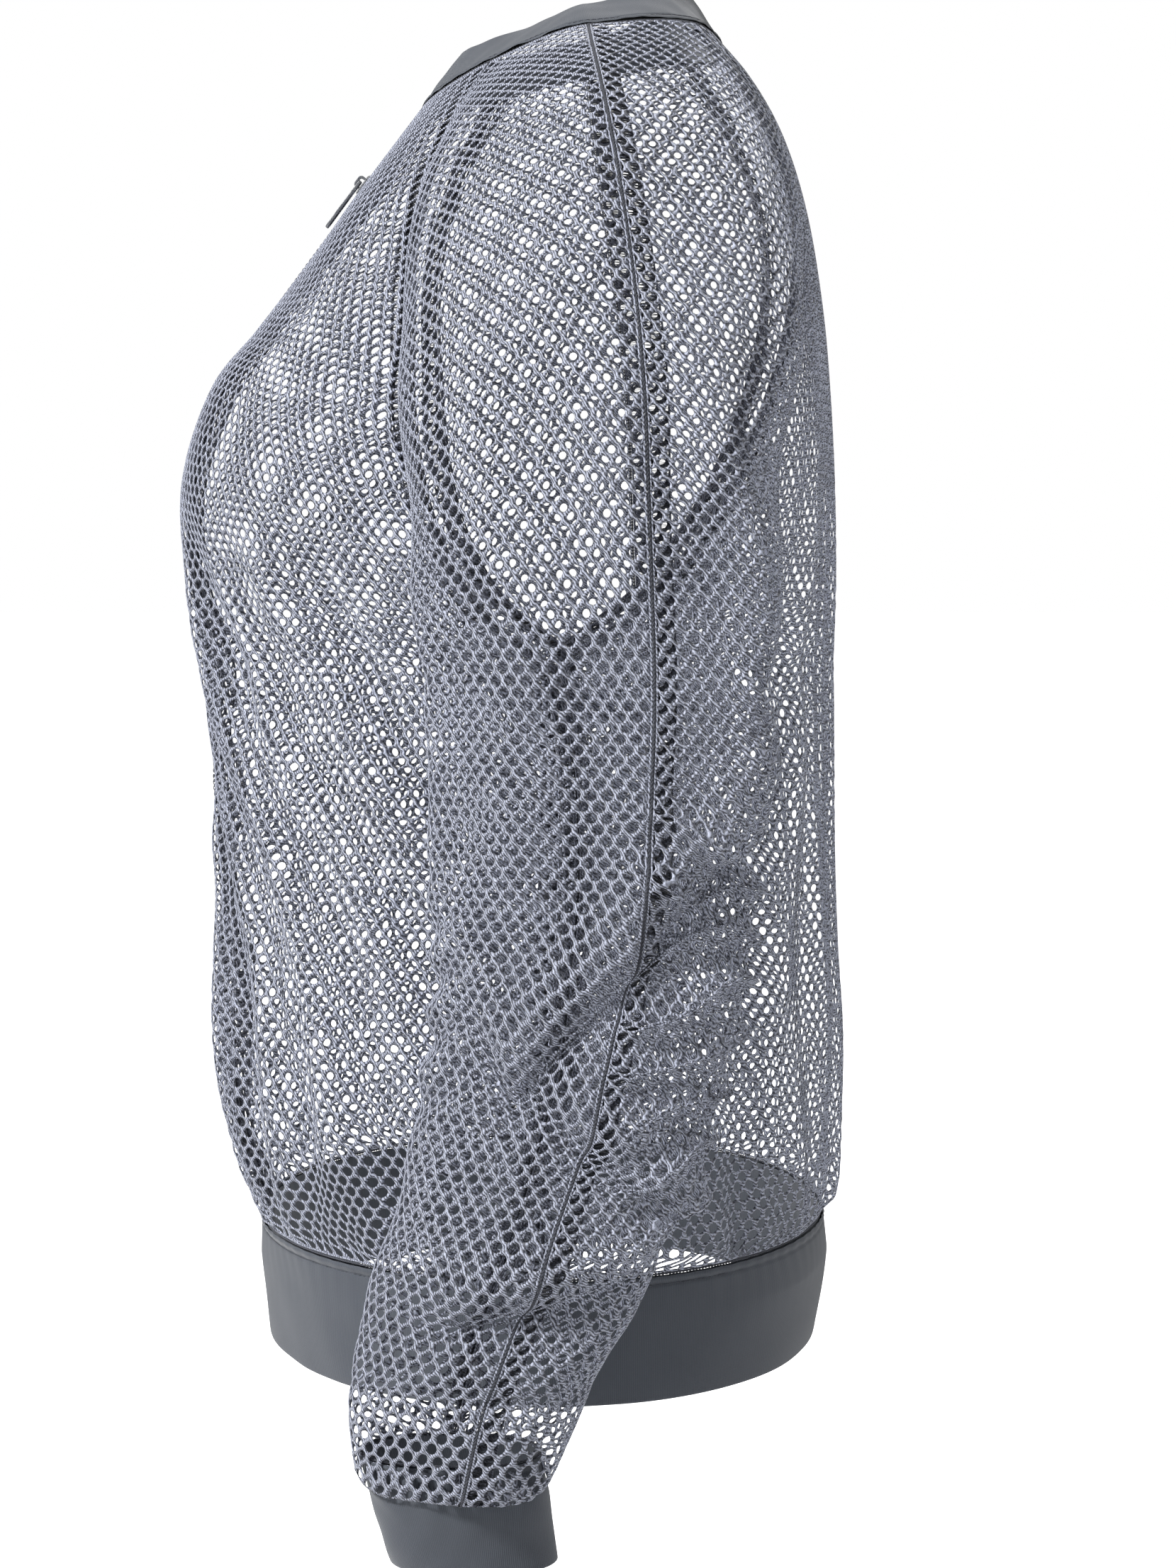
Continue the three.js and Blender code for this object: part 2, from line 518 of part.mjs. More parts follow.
// The box holds the end of the right row; the pin on the left row stands in its slot.
const BOX_HALF = TEETH_INNER + TEETH_WIDTH;
const PIN = [TEETH_INNER, TEETH_INNER + 1.6];
add('zip_retainer_box', plate([
  [-BOX_HALF, 0.4], [BOX_HALF, 0.4], [BOX_HALF, BOX_HEIGHT], [PIN[1] + GAP, BOX_HEIGHT],
  [PIN[1] + GAP, 1.6], [PIN[0] - GAP, 1.6], [PIN[0] - GAP, BOX_HEIGHT], [-BOX_HALF, BOX_HEIGHT],
], -1.9, 1.9), enamel, bottomFrame);
add('zip_insertion_pin', box([PIN[0], 1.6 + GAP, -0.8], [PIN[1], BOX_HEIGHT + 0.6, 0.8]), enamel, bottomFrame);

// ---------------------------------------------------------------- slider and pull

const wasm = await Module();
wasm.setup();

function joined(pieces) {
  const solids = pieces.map((piece) => {
    const geometry = piece.clone();
    for (const name of ['normal', 'uv']) geometry.deleteAttribute(name);
    const merged = mergeVertices(geometry, 1e-4);
    return new wasm.Manifold(new wasm.Mesh({
      numProp: 3,
      vertProperties: merged.attributes.position.array,
      triVerts: new Uint32Array(merged.index.array),
    }));
  });
  const mesh = solids.reduce((all, one) => all.add(one)).getMesh();
  const geometry = new THREE.BufferGeometry();
  geometry.setAttribute('position', new THREE.BufferAttribute(mesh.vertProperties, 3));
  geometry.setIndex(new THREE.BufferAttribute(mesh.triVerts, 1));
  geometry.computeVertexNormals();
  return geometry;
}

const TOP_PLATE = TEETH_THICKNESS / 2 + GAP; // its underside, out from the zip line
const TOP_FACE = TOP_PLATE + PLATE;
const BACK_PLATE = -(TAPE_DEPTH + TAPE_THICKNESS / 2 + GAP); // its face towards the tape
const BAIL_RISE = 3.9;
const BAIL_INNER_RISE = 2.7;
const BAIL_LEG = 1.2;
const PULL_AXIS = TOP_FACE + BAIL_INNER_RISE - GAP - BAIL_BAR / 2;

// The slider's outline is wide above, where the teeth part, and narrow below.
const [wide, narrow, end] = [SLIDER_WIDTH / 2, SLIDER_WIDTH / 2 - 1, SLIDER_LENGTH / 2];
const sliderOutline = [
  [-narrow + 0.8, -end], [narrow - 0.8, -end], [narrow, -end + 1], [wide, 1], [wide, end - 1.5], [wide - 1.5, end],
  [-wide + 1.5, end], [-wide, end - 1.5], [-wide, 1], [-narrow, -end + 1],
];
const archOutline = [
  [-BAIL_LENGTH / 2, 0], [-BAIL_LENGTH / 2, BAIL_RISE - 1.2], [-BAIL_LENGTH / 2 + 1.2, BAIL_RISE],
  [BAIL_LENGTH / 2 - 1.2, BAIL_RISE], [BAIL_LENGTH / 2, BAIL_RISE - 1.2], [BAIL_LENGTH / 2, 0],
  [BAIL_LENGTH / 2 - BAIL_LEG, 0], [BAIL_LENGTH / 2 - BAIL_LEG, BAIL_INNER_RISE],
  [-BAIL_LENGTH / 2 + BAIL_LEG, BAIL_INNER_RISE], [-BAIL_LENGTH / 2 + BAIL_LEG, 0],
];
// The arch is drawn along the zip (X) and outward (Y), then turned to stand on the slider.
const arch = plate(archOutline, -BAIL_WIDTH / 2, BAIL_WIDTH / 2)
  .rotateX(Math.PI / 2).rotateZ(Math.PI / 2).translate(0, 0, TOP_FACE - 0.1);

const sliderFrame = frameAt(ZIP_TOP.clone().addScaledVector(CHEST_UP, -SLIDER_DOWN), CHEST_UP);
add('zip_slider', joined([
  plate(sliderOutline, TOP_PLATE, TOP_FACE),
  plate(sliderOutline, BACK_PLATE - PLATE, BACK_PLATE),
  box([-POST_WIDTH / 2, 0.5, BACK_PLATE - PLATE / 2], [POST_WIDTH / 2, end - 1, TOP_PLATE + PLATE / 2]),
  arch,
]), enamel, sliderFrame);

const slotHalf = BAIL_WIDTH / 2 + GAP;
const slotEnd = BAIL_LENGTH / 2 + 1.4;
const half = PULL_WIDTH / 2;
add('zip_pull', plate([
  [-half + 0.6, BAIL_BAR / 2], [-half, 0], [-half + 0.5, -slotEnd - 2], [-half, -PULL_LENGTH + 8],
  [-half, -PULL_LENGTH + 2.4], [-half + 0.8, -PULL_LENGTH + 0.8], [-half + 2.4, -PULL_LENGTH],
  [half - 2.4, -PULL_LENGTH], [half - 0.8, -PULL_LENGTH + 0.8], [half, -PULL_LENGTH + 2.4],
  [half, -PULL_LENGTH + 8], [half - 0.5, -slotEnd - 2], [half, 0], [half - 0.6, BAIL_BAR / 2],
], PULL_AXIS - PULL_THICKNESS / 2, PULL_AXIS + PULL_THICKNESS / 2, [
  rectangle(slotHalf, -slotEnd, -BAIL_BAR / 2),
]), enamel, sliderFrame);

export default jacket;
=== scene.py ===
"""The look of a ventilated beekeeping jacket: open mesh cut in raglan panels, knit bands, and a front zip.

Metres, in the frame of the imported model: X to the wearer's left, Y to the wearer's back, Z up.
"""
import math

import bmesh
import bpy
import numpy as np
from mathutils import Matrix, Vector


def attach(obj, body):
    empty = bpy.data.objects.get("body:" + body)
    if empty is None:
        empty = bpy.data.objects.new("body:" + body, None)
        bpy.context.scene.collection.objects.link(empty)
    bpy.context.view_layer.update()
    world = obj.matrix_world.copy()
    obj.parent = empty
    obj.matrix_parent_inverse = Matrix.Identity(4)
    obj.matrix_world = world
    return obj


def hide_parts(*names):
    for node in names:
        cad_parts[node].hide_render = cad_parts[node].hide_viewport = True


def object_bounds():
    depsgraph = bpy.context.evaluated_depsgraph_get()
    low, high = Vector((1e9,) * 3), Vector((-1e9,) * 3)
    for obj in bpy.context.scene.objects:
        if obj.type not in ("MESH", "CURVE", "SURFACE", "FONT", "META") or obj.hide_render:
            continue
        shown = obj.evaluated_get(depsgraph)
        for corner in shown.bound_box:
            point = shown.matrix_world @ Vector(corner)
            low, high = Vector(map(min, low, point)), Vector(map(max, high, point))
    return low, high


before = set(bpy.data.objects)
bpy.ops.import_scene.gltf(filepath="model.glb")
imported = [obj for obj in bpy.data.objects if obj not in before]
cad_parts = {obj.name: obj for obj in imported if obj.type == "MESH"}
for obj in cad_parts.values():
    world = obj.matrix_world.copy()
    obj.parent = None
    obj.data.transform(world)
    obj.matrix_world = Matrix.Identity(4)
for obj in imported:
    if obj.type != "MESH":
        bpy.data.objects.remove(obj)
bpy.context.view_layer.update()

MM = 0.001

# ---------------------------------------------------------------- camera

VIEW_DISTANCE = 1.5  # from the middle of the jacket
VIEW_HEIGHT = -0.236  # the eye is level with the bust
VIEW_ASIDE = 0.034  # and a little behind the middle of the jacket
VIEW_DOWN = math.radians(4.4)
VIEW_LENS = 70.8


def make_camera():
    camera = bpy.data.objects.new("camera", bpy.data.cameras.new("camera"))
    camera.data.lens = VIEW_LENS
    camera.data.sensor_width = 36.0
    camera.location = (VIEW_DISTANCE, VIEW_ASIDE, VIEW_HEIGHT)
    camera.rotation_euler = (math.pi / 2 - VIEW_DOWN, 0.0, math.pi / 2)
    bpy.context.scene.collection.objects.link(camera)
    bpy.context.scene.camera = camera


make_camera()

# ---------------------------------------------------------------- the cut of the jacket

# Rows of the body from the neck seam to the hem seam, in millimetres as drafted, on the wearer's left.
# Each row: centre line (y, z), reach along x, seam point (x, y, z), lean back from the seam point.
UNDERARM = 8
FRONT = [
    ((-45, -28), 26, (58, -11, -13), (-8, -15, -6)),
    ((-65, -54.6), 34, (78, -27, -42), (-14, -18, -4)),
    ((-85, -81.2), 46, (98, -40, -76), (-17, -22, -3)),
    ((-105, -107.8), 56, (114, -45, -108), (-20, -28, 0)),
    ((-125, -134.4), 72, (131, -45, -144), (-20, -40, 0)),
    ((-145, -161), 84, (148, -42, -184), (-16, -52, 0)),
    ((-159, -205), 92, (160, -33, -225), (-22, -60, 0)),
    ((-157, -248), 92, (166, -12, -264), (-36, -66, 0)),
    ((-152, -290), 90, (166, 20, -290), (-42, -76, 0)),
    ((-147, -332), 90, (157, 22, -332), (-6, -92, 0)),
    ((-143, -378), 90, (155, 22, -378), (0, -92, 0)),
    ((-144, -424), 90, (157, 20, -424), (0, -92, 0)),
    ((-145, -468), 90, (163, 17, -468), (0, -92, 0)),
    ((-139, -514), 90, (168, 15, -514), (0, -88, 0)),
    ((-124, -557), 90, (168, 14, -557), (0, -80, 0)),
]
BACK = [
    ((98, -1), 28, (58, 84, 4), (-12, 8, -1)),
    ((112, -20), 40, (74, 100, -18), (-18, 9, 0)),
    ((125, -44), 50, (91, 114, -44), (-22, 8, 0)),
    ((135, -76), 58, (106, 124, -72), (-26, 7, 0)),
    ((142, -112), 66, (123, 127, -105), (-28, 10, 0)),
    ((147, -150), 76, (140, 120, -148), (-28, 20, 0)),
    ((150, -196), 84, (155, 101, -198), (-26, 34, 0)),
    ((151, -244), 88, (165, 66, -252), (-34, 54, 0)),
    ((151, -290), 88, (166, 20, -290), (-42, 72, 0)),
    ((151, -332), 88, (157, 22, -332), (-6, 76, 0)),
    ((152, -378), 88, (155, 22, -378), (0, 76, 0)),
    ((154, -424), 88, (157, 20, -424), (0, 78, 0)),
    ((156, -468), 90, (163, 17, -468), (0, 80, 0)),
    ((154, -514), 90, (168, 15, -514), (0, 80, 0)),
    ((148, -557), 90, (168, 14, -557), (0, 78, 0)),
]
# Rows over the sleeve head, beside body rows 0 to 8: overarm point, then the leans at the front raglan seam,
# at the overarm seam towards front and back, and at the back raglan seam.
SLEEVE_HEAD = [
    ((80, 34, 0), (6, 14, 5), (-2, -16, -2), (-1, 18, 1), (10, -16, 2)),
    ((118, 36, -15), (22, 6, 8), (-6, -22, -4), (-4, 22, 0), (22, -6, 6)),
    ((152, 39, -33), (34, -2, 8), (-8, -30, -6), (-6, 28, -2), (32, 2, 8)),
    ((182, 43, -56), (40, -8, 4), (-8, -42, -8), (-6, 34, -2), (38, 6, 8)),
    ((205, 48, -88), (40, -12, 2), (-6, -56, -6), (-4, 44, -2), (40, 10, 6)),
    ((221, 53, -125), (38, -20, 0), (-4, -68, -4), (-3, 52, 0), (38, 18, 2)),
    ((234, 57, -172), (34, -32, 0), (-2, -80, 0), (-2, 58, 0), (34, 32, 0)),
    ((243, 59, -228), (38, -56, 0), (0, -96, 0), (0, 66, 0), (38, 70, 0)),
    ((249, 61, -290), (44, -82, 0), (0, -106, 0), (0, 74, 0), (44, 98, 0)),
]
# Rings down the sleeve: z, underarm seam (x, y), overarm seam (x, y), reach to the front and to the back (y).
SLEEVE_RINGS = [
    (-332, (175, 28), (253, 60), -33, 105),
    (-378, (175, 30), (256, 57), -33, 104),
    (-424, (178, 26), (259, 47), -32, 100),
    (-468, (183, 20), (262, 36), -36, 90),
    (-510, (189, 8), (265, 22), -47, 74),
    (-550, (194, -6), (266, 6), -58, 57),
    (-585, (199, -17), (263, -8), -63, 36),
    (-614, (206, -25), (255, -20), -62, 14),
]


ZIP_EDGE = 3.75 * MM  # the front panels stop here, beside the zip


def drafted(points):
    return np.asarray(points, float) * MM


def spline(points, t):
    """A smooth curve through points, t from 0 to 1 in even steps from point to point."""
    p = np.asarray(points, float)
    n = len(p) - 1
    p = np.concatenate([[2 * p[0] - p[1]], p, [2 * p[-1] - p[-2]]])
    x = np.clip(t, 0, 1) * n
    i = np.minimum(x.astype(int), n - 1)
    f = (x - i)[..., None]
    a, b, c, d = (p[i + k] for k in range(4))
    return 0.5 * (2 * b + (c - a) * f + (2 * a - 5 * b + 4 * c - d) * f**2 + (3 * b - a - 3 * c + d) * f**3)


def corner_spline(points, t, corner):
    """The same, but turning a corner at the point numbered corner."""
    share = corner / (len(points) - 1)
    before = spline(points[: corner + 1], t / share)
    after = spline(points[corner:], (t - share) / (1 - share))
    return np.where((t < share)[..., None], before, after)


def bezier(a, b, c, d, u):
    u = u[..., None]
    return a * (1 - u) ** 3 + 3 * b * u * (1 - u) ** 2 + 3 * c * u**2 * (1 - u) + d * u**3


def body_surface(rows, edge):
    centre = drafted([(0, *r[0]) for r in rows]) + (edge, 0, 0)
    reach = drafted([(r[1], 0, 0) for r in rows])
    seam, lean = drafted([r[2] for r in rows]), drafted([r[3] for r in rows])

    def surface(u, v):
        start, end = spline(centre, v), corner_spline(seam, v, UNDERARM)
        return bezier(start, start + spline(reach, v), end + spline(lean, v), end, u)

    return surface


def sleeve_surface(front):
    """u runs from the overarm seam (0) to the raglan seam and then the underarm seam (1)."""
    body, side = (FRONT, 0) if front else (BACK, 1)
    top = [r[0] for r in SLEEVE_HEAD] + [(*r[2], r[0]) for r in SLEEVE_RINGS]
    seam = [r[2] for r in body[: UNDERARM + 1]] + [(*r[1], r[0]) for r in SLEEVE_RINGS]
    top_lean = [r[2 + side] for r in SLEEVE_HEAD]
    seam_lean = [r[1] if front else r[4] for r in SLEEVE_HEAD]
    for _, inner, outer, low, high in SLEEVE_RINGS:
        control = (8 * (low if front else high) - inner[1] - outer[1]) / 6
        top_lean.append((0, control - outer[1], 0))
        seam_lean.append((0, control - inner[1], 0))
    top, seam, top_lean, seam_lean = (drafted(p) for p in (top, seam, top_lean, seam_lean))

    def surface(u, v):
        start, end = spline(top, v), corner_spline(seam, v, UNDERARM)
        return bezier(start, start + spline(top_lean, v), end + spline(seam_lean, v), end, u)

    return surface


front_surface = body_surface(FRONT, ZIP_EDGE)
back_surface = body_surface(BACK, 0.0)
sleeve_surfaces = {"front": sleeve_surface(True), "back": sleeve_surface(False)}

# ---------------------------------------------------------------- folds


def bump(x, width):
    return np.exp(-((x / width) ** 2))


def smooth(x, low, high):
    t = np.clip((x - low) / (high - low), 0, 1)
    return t * t * (3 - 2 * t)


def wander(p, size, seed):
    """A slow, smooth wander between about -1 and 1 over space."""
    phases = np.random.default_rng(seed).uniform(0, 2 * np.pi, (5, 4))
    turns = np.random.default_rng(seed + 1).normal(0, 1, (5, 3))
    turns /= np.linalg.norm(turns, axis=1, keepdims=True)
    total = 0
    for turn, phase in zip(turns, phases):
        total = total + np.sin(p @ turn * (2 * np.pi / size) * (0.7 + 0.12 * phase[1]) + phase[0])
    return total / 2.6


def body_folds(p, seam_share):
    """How far the body stands off its cut shape, and how far it slides down: drape from the bust, hanging
    folds at the back, and gathers above the hem band. seam_share: 0 at the raglan seam, 1 well inside."""
    x, y, z = p[..., 0], p[..., 1], p[..., 2]
    side = np.abs(x)
    angle = np.arctan2(side, -y)
    girth = angle * 0.16
    front = smooth(-y, -0.03, 0.05)
    below_bust = smooth(-z, 0.20, 0.29) * (1 - 0.55 * smooth(-z, 0.47, 0.56))
    slant = 0.89 * girth + 0.45 * z + 0.010 * wander(p, 0.28, 3)
    drape = 0.0040 * np.sin(slant * (2 * np.pi / 0.043)) + 0.0020 * np.sin(slant * (2 * np.pi / 0.079) + 1.1)
    hang = 0.0028 * np.cos(angle * 17 + 2.0 * wander(p, 0.3, 9))
    chest = 0.0014 * wander(p, 0.11, 21) * smooth(-z, 0.05, 0.12)
    back_hang = 0.0036 * np.cos(angle * 13 + 1.6 * wander(p, 0.25, 14)) * smooth(-z, 0.14, 0.30)
    gathers = 0.0018 * np.cos(angle * 34 + 2.5 * wander(p, 0.2, 17)) * smooth(-z, 0.49, 0.54)
    blouse = 0.0012 * bump(z + 0.541, 0.014)
    off = front * (below_bust * (drape + 0.5 * hang) + chest) + (1 - front) * back_hang + gathers + blouse
    by_zip = smooth(side, 0.004, 0.026) * front + 1 - front
    off = off * (by_zip + (1 - by_zip) * 0.35 * smooth(-z, 0.27, 0.34))
    return off * (1 - smooth(-z, 0.549, 0.557)) * smooth(-z, 0.01, 0.06) * seam_share, 0.0 * off


ELBOW = -0.444  # height of the point of the elbow fold
FOREARM_FOLD = -0.540
CUFF_SEAM = -0.614


def crease(distance, width):
    """A fold that overhangs: stands out just above a line and tucks in below it. 1 at its fullest."""
    return distance / width * np.exp(0.5 - (distance / width) ** 2 / 2)


def sleeve_folds(p, seam_share):
    """The same for a sleeve: long folds from the shoulder, the elbow fold and its pleats, and the blouse
    over the cuff."""
    x, y, z = np.abs(p[..., 0]), p[..., 1], p[..., 2]
    outside = smooth(x, 0.195, 0.235)
    long_folds = 0.0024 * np.sin(y * (2 * np.pi / 0.052) + z * 14 + 1.3 * wander(p, 0.2, 31))
    long_folds = long_folds * smooth(-z, 0.10, 0.20) * (1 - smooth(-z, 0.36, 0.43))
    soft = 0.0020 * wander(p, 0.075, 37) * smooth(-z, 0.06, 0.14)

    # Two creases run back from the point of the fold, one up and one down; the cloth above pouches over.
    back_of = np.maximum(y - 0.001, 0)
    front_of = np.maximum(0.001 - y, 0)
    above = z - (ELBOW + 1.00 * back_of + 1.6 * front_of)
    under = z - (ELBOW - 0.78 * back_of - 0.9 * front_of)
    reach = smooth(y, -0.022, 0.004)
    pouch = 0.0062 * crease(above, 0.014) * (0.35 + 0.65 * outside) * reach
    drop = -0.012 * bump(above, 0.016) * (0.3 + 0.7 * outside) * reach
    second = 0.0036 * crease(under, 0.011) * smooth(y, 0.0, 0.03)
    second_drop = -0.007 * bump(under, 0.012) * smooth(y, 0.0, 0.03)

    behind = smooth(y, 0.036, 0.070) * smooth(-z, 0.31, 0.36) * (1 - smooth(-z, 0.50, 0.55))
    phase = z * (2 * np.pi / 0.025) + 3.0 * wander(p, 0.09, 43)
    pleats, pleat_drop = behind * 0.0037 * np.sin(phase), behind * 0.0036 * np.cos(phase)

    crook = bump(z + 0.43, 0.05) * smooth(-y, 0.012, 0.034)
    crook_folds = crook * 0.0030 * np.sin((z - 0.9 * y) * (2 * np.pi / 0.024))

    to_back = smooth(y, -0.045, -0.015)
    ridge = z - FOREARM_FOLD - 0.30 * y + 0.003 * wander(p, 0.1, 47)
    fold = 0.0045 * crease(ridge, 0.008) * to_back * (1 - 0.6 * smooth(y, 0.01, 0.04))
    fold_drop = -0.007 * bump(ridge, 0.010) * to_back
    lower_soft = 0.0024 * wander(p, 0.05, 51) * smooth(-z, 0.47, 0.52)

    over_cuff = z - CUFF_SEAM
    share = np.clip(over_cuff / 0.030, 0, 1)  # 0 at the cuff seam, 1 where the puff begins
    outermost = smooth(x, 0.222, 0.250)
    behind_wrist = smooth(y, -0.005, 0.025)
    puff = 0.0090 * np.sin(np.pi * share**0.85) * (0.45 + 0.55 * to_back) * (1 - 0.75 * behind_wrist)
    puff_drop = -0.021 * np.sin(np.pi * share**0.42) * (1 - share) * (0.40 + 0.60 * outermost)
    fade = smooth(over_cuff, 0.0, 0.012)
    off = fade * (long_folds + soft + pouch + second + pleats + crook_folds + fold + lower_soft) + puff
    slide = fade * (drop + second_drop + pleat_drop + fold_drop) + puff_drop
    return off * smooth(-z, 0.005, 0.05) * seam_share, slide


# ---------------------------------------------------------------- cloth as a flat cut laid on a surface


class Cut:
    """A panel of cloth laid on a surface and folded. Cloth coordinates are metres: s across from the first
    edge, t down along it. The back panel has both halves, with s from -width to width."""

    ROWS, COLUMNS = 260, 90

    def __init__(self, surface, folds, underarm, mirror=False, both=False):
        v = np.linspace(0, 1, self.ROWS)[:, None] * np.ones(self.COLUMNS * 2)
        u = np.linspace(0, 1, self.COLUMNS * 2)[None, :] * np.ones((self.ROWS, 1))
        raw = surface(u, v)
        steps = np.linalg.norm(np.diff(raw, axis=1), axis=2)
        run = np.concatenate([np.zeros((self.ROWS, 1)), np.cumsum(steps, axis=1)], axis=1)
        share = np.linspace(0, 1, self.COLUMNS)
        self.grid = np.stack([
            np.stack([np.interp(share * run[k, -1], run[k], raw[k, :, c]) for c in range(3)], axis=1)
            for k in range(self.ROWS)
        ])
        self.both = both
        from_seam = run[:, -1:] * (1 - share[None, :])
        if mirror:
            self.grid = self.grid * (-1, 1, 1)
        if both:
            self.grid = np.concatenate([self.grid[:, :0:-1] * (-1, 1, 1), self.grid], axis=1)
            from_seam = np.concatenate([from_seam[:, :0:-1], from_seam], axis=1)
        past_underarm = smooth(v[:, :1], underarm - 0.02, underarm + 0.10)
        seam_share = past_underarm + (1 - past_underarm) * smooth(from_seam, 0.002, 0.026)
        off, slide = folds(self.grid, seam_share)
        self.grid = self.grid + self._outward()[0] * off[..., None]
        self.grid[..., 2] += slide
        self.normal, _ = self._outward()
        down = np.linalg.norm(np.diff(self.grid, axis=0), axis=2).mean(axis=1)
        self.t = np.concatenate([[0], np.cumsum(down)])
        self.height = self.t[-1]
        self.width = np.linalg.norm(np.diff(self.grid, axis=1), axis=2).sum(axis=1) / (2 if both else 1)

    def _outward(self):
        normal = np.cross(np.gradient(self.grid, axis=1), np.gradient(self.grid, axis=0))
        normal /= np.maximum(np.linalg.norm(normal, axis=2, keepdims=True), 1e-12)
        sign = np.sign(((self.grid - self.grid.mean(axis=(0, 1))) * normal).sum())
        return normal * sign, sign

    def width_at(self, t):
        return np.interp(t, self.t, self.width)

    def t_at(self, v):
        return float(np.interp(v, np.linspace(0, 1, self.ROWS), self.t))

    def edge(self, v, last):
        """The first or last edge of the cloth, at shares v of the way down."""
        column = self.grid[:, -1 if last else 0]
        rows = np.linspace(0, 1, self.ROWS)
        return np.stack([np.interp(v, rows, column[:, c]) for c in range(3)], axis=-1)

    def _look(self, table, s, t):
        row = np.interp(t, self.t, np.arange(self.ROWS))
        share = s / np.maximum(self.width_at(t), 1e-9)
        if self.both:
            share = (share + 1) / 2
        column = np.clip(share, 0, 1) * (table.shape[1] - 1)
        i = np.minimum(row.astype(int), self.ROWS - 2)
        j = np.minimum(column.astype(int), table.shape[1] - 2)
        f, g = (row - i)[..., None], (column - j)[..., None]
        return (table[i, j] * (1 - f) * (1 - g) + table[i + 1, j] * f * (1 - g)
                + table[i, j + 1] * (1 - f) * g + table[i + 1, j + 1] * f * g)

    def facing(self, s, t):
        return self._look(self.normal, s, t)

    def point(self, s, t, height=0.0):
        height = np.broadcast_to(height, np.shape(s))[..., None]
        return self._look(self.grid, s, t) + self._look(self.normal, s, t) * height


# ---------------------------------------------------------------- meshes


def mesh_object(name, points, faces, uv=None, cloth=None, smooth_faces=True):
    """An object from arrays. uv and cloth are per corner: a packed map, and cloth coordinates in metres."""
    faces = np.asarray(faces, np.int32)
    mesh = bpy.data.meshes.new(name)
    mesh.vertices.add(len(points))
    mesh.vertices.foreach_set("co", np.asarray(points, np.float32).ravel())
    sides = faces.shape[1]
    mesh.loops.add(faces.size)
    mesh.loops.foreach_set("vertex_index", faces.ravel())
    mesh.polygons.add(len(faces))
    mesh.polygons.foreach_set("loop_start", np.arange(0, faces.size, sides, dtype=np.int32))
    mesh.polygons.foreach_set("use_smooth", np.full(len(faces), smooth_faces))
    for map_name, values in (("OFBake", uv), ("Cloth", cloth)):
        if values is not None:
            layer = mesh.uv_layers.new(name=map_name)
            layer.uv.foreach_set("vector", np.asarray(values, np.float32).ravel())
    mesh.update(calc_edges=True)
    mesh.validate()
    ob = bpy.data.objects.new(name, mesh)
    bpy.context.scene.collection.objects.link(ob)
    return ob


def finish_piece(ob, material, body, nodes=()):
    ob.data.materials.append(material)
    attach(ob, body)
    if nodes:
        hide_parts(*nodes)
    return ob


def tube(line, radius, sides, closed=False):
    """A tube along a line of points: its points, quads, and per corner a map along it and around it."""
    line = np.asarray(line, float)
    n = len(line)
    if closed:
        along = np.roll(line, -1, axis=0) - np.roll(line, 1, axis=0)
    else:
        along = np.gradient(line, axis=0)
    along /= np.linalg.norm(along, axis=1, keepdims=True)
    side = np.cross(along[0], (0.0, 0.0, 1.0))
    if np.linalg.norm(side) < 0.1:
        side = np.cross(along[0], (0.0, 1.0, 0.0))
    frames = []
    for direction in along:
        side = side - direction * side.dot(direction)
        side = side / np.linalg.norm(side)
        frames.append(side)
    first = np.array(frames)
    second = np.cross(along, first)
    turn = np.linspace(0, 2 * np.pi, sides, endpoint=False)[None, :, None]
    ring = (np.cos(turn) * first[:, None] + np.sin(turn) * second[:, None]) * radius
    points = (line[:, None] + ring).reshape(-1, 3)
    steps = n if closed else n - 1
    i, j = np.meshgrid(np.arange(steps), np.arange(sides), indexing="ij")
    k, m = (i + 1) % n, (j + 1) % sides
    faces = np.stack([i * sides + j, k * sides + j, k * sides + m, i * sides + m], axis=-1).reshape(-1, 4)
    u, v = i / steps, j / sides
    uv = np.stack([np.stack([u, v], -1), np.stack([u + 1 / steps, v], -1),
                   np.stack([u + 1 / steps, v + 1 / sides], -1), np.stack([u, v + 1 / sides], -1)], axis=2)
    return points, faces, uv.reshape(-1, 4, 2)


def triangles(quads, uv):
    return (np.concatenate([quads[:, [0, 1, 2]], quads[:, [0, 2, 3]]]),
            np.concatenate([uv[:, [0, 1, 2]], uv[:, [0, 2, 3]]]))


# ---------------------------------------------------------------- the open mesh cloth

PITCH = 0.0070  # between holes along a row
ROW = 0.00465  # between rows, each set over by half a pitch
HOLE = (0.00222, 0.00222)  # half width and half height of a hole
YARN = 0.00048  # half the thickness of the cloth
HOLE_SIDES = 12
UNEVEN = 0.00022  # how far the knitting strays from an even pattern
BORDER = 0.0011  # the cut edge lies this far inside the seam
BORDER_CORD = 0.0005  # radius of the yarn along the cut edge
HOLE_SHARE = math.pi * HOLE[0] * HOLE[1] / (PITCH * ROW)


def joined_points(points, index):
    """The points with those in the same place made one, and index numbered to suit."""
    _, first, turned = np.unique(np.round(points / 1e-6).astype(np.int64), axis=0, return_index=True,
                                 return_inverse=True)
    return points[first], turned.reshape(-1)[index]


def two_sided_area(flat):
    (a, b), (c, d) = (flat[:, 1] - flat[:, 0]).T, (flat[:, 2] - flat[:, 0]).T
    return np.abs(a * d - b * c)


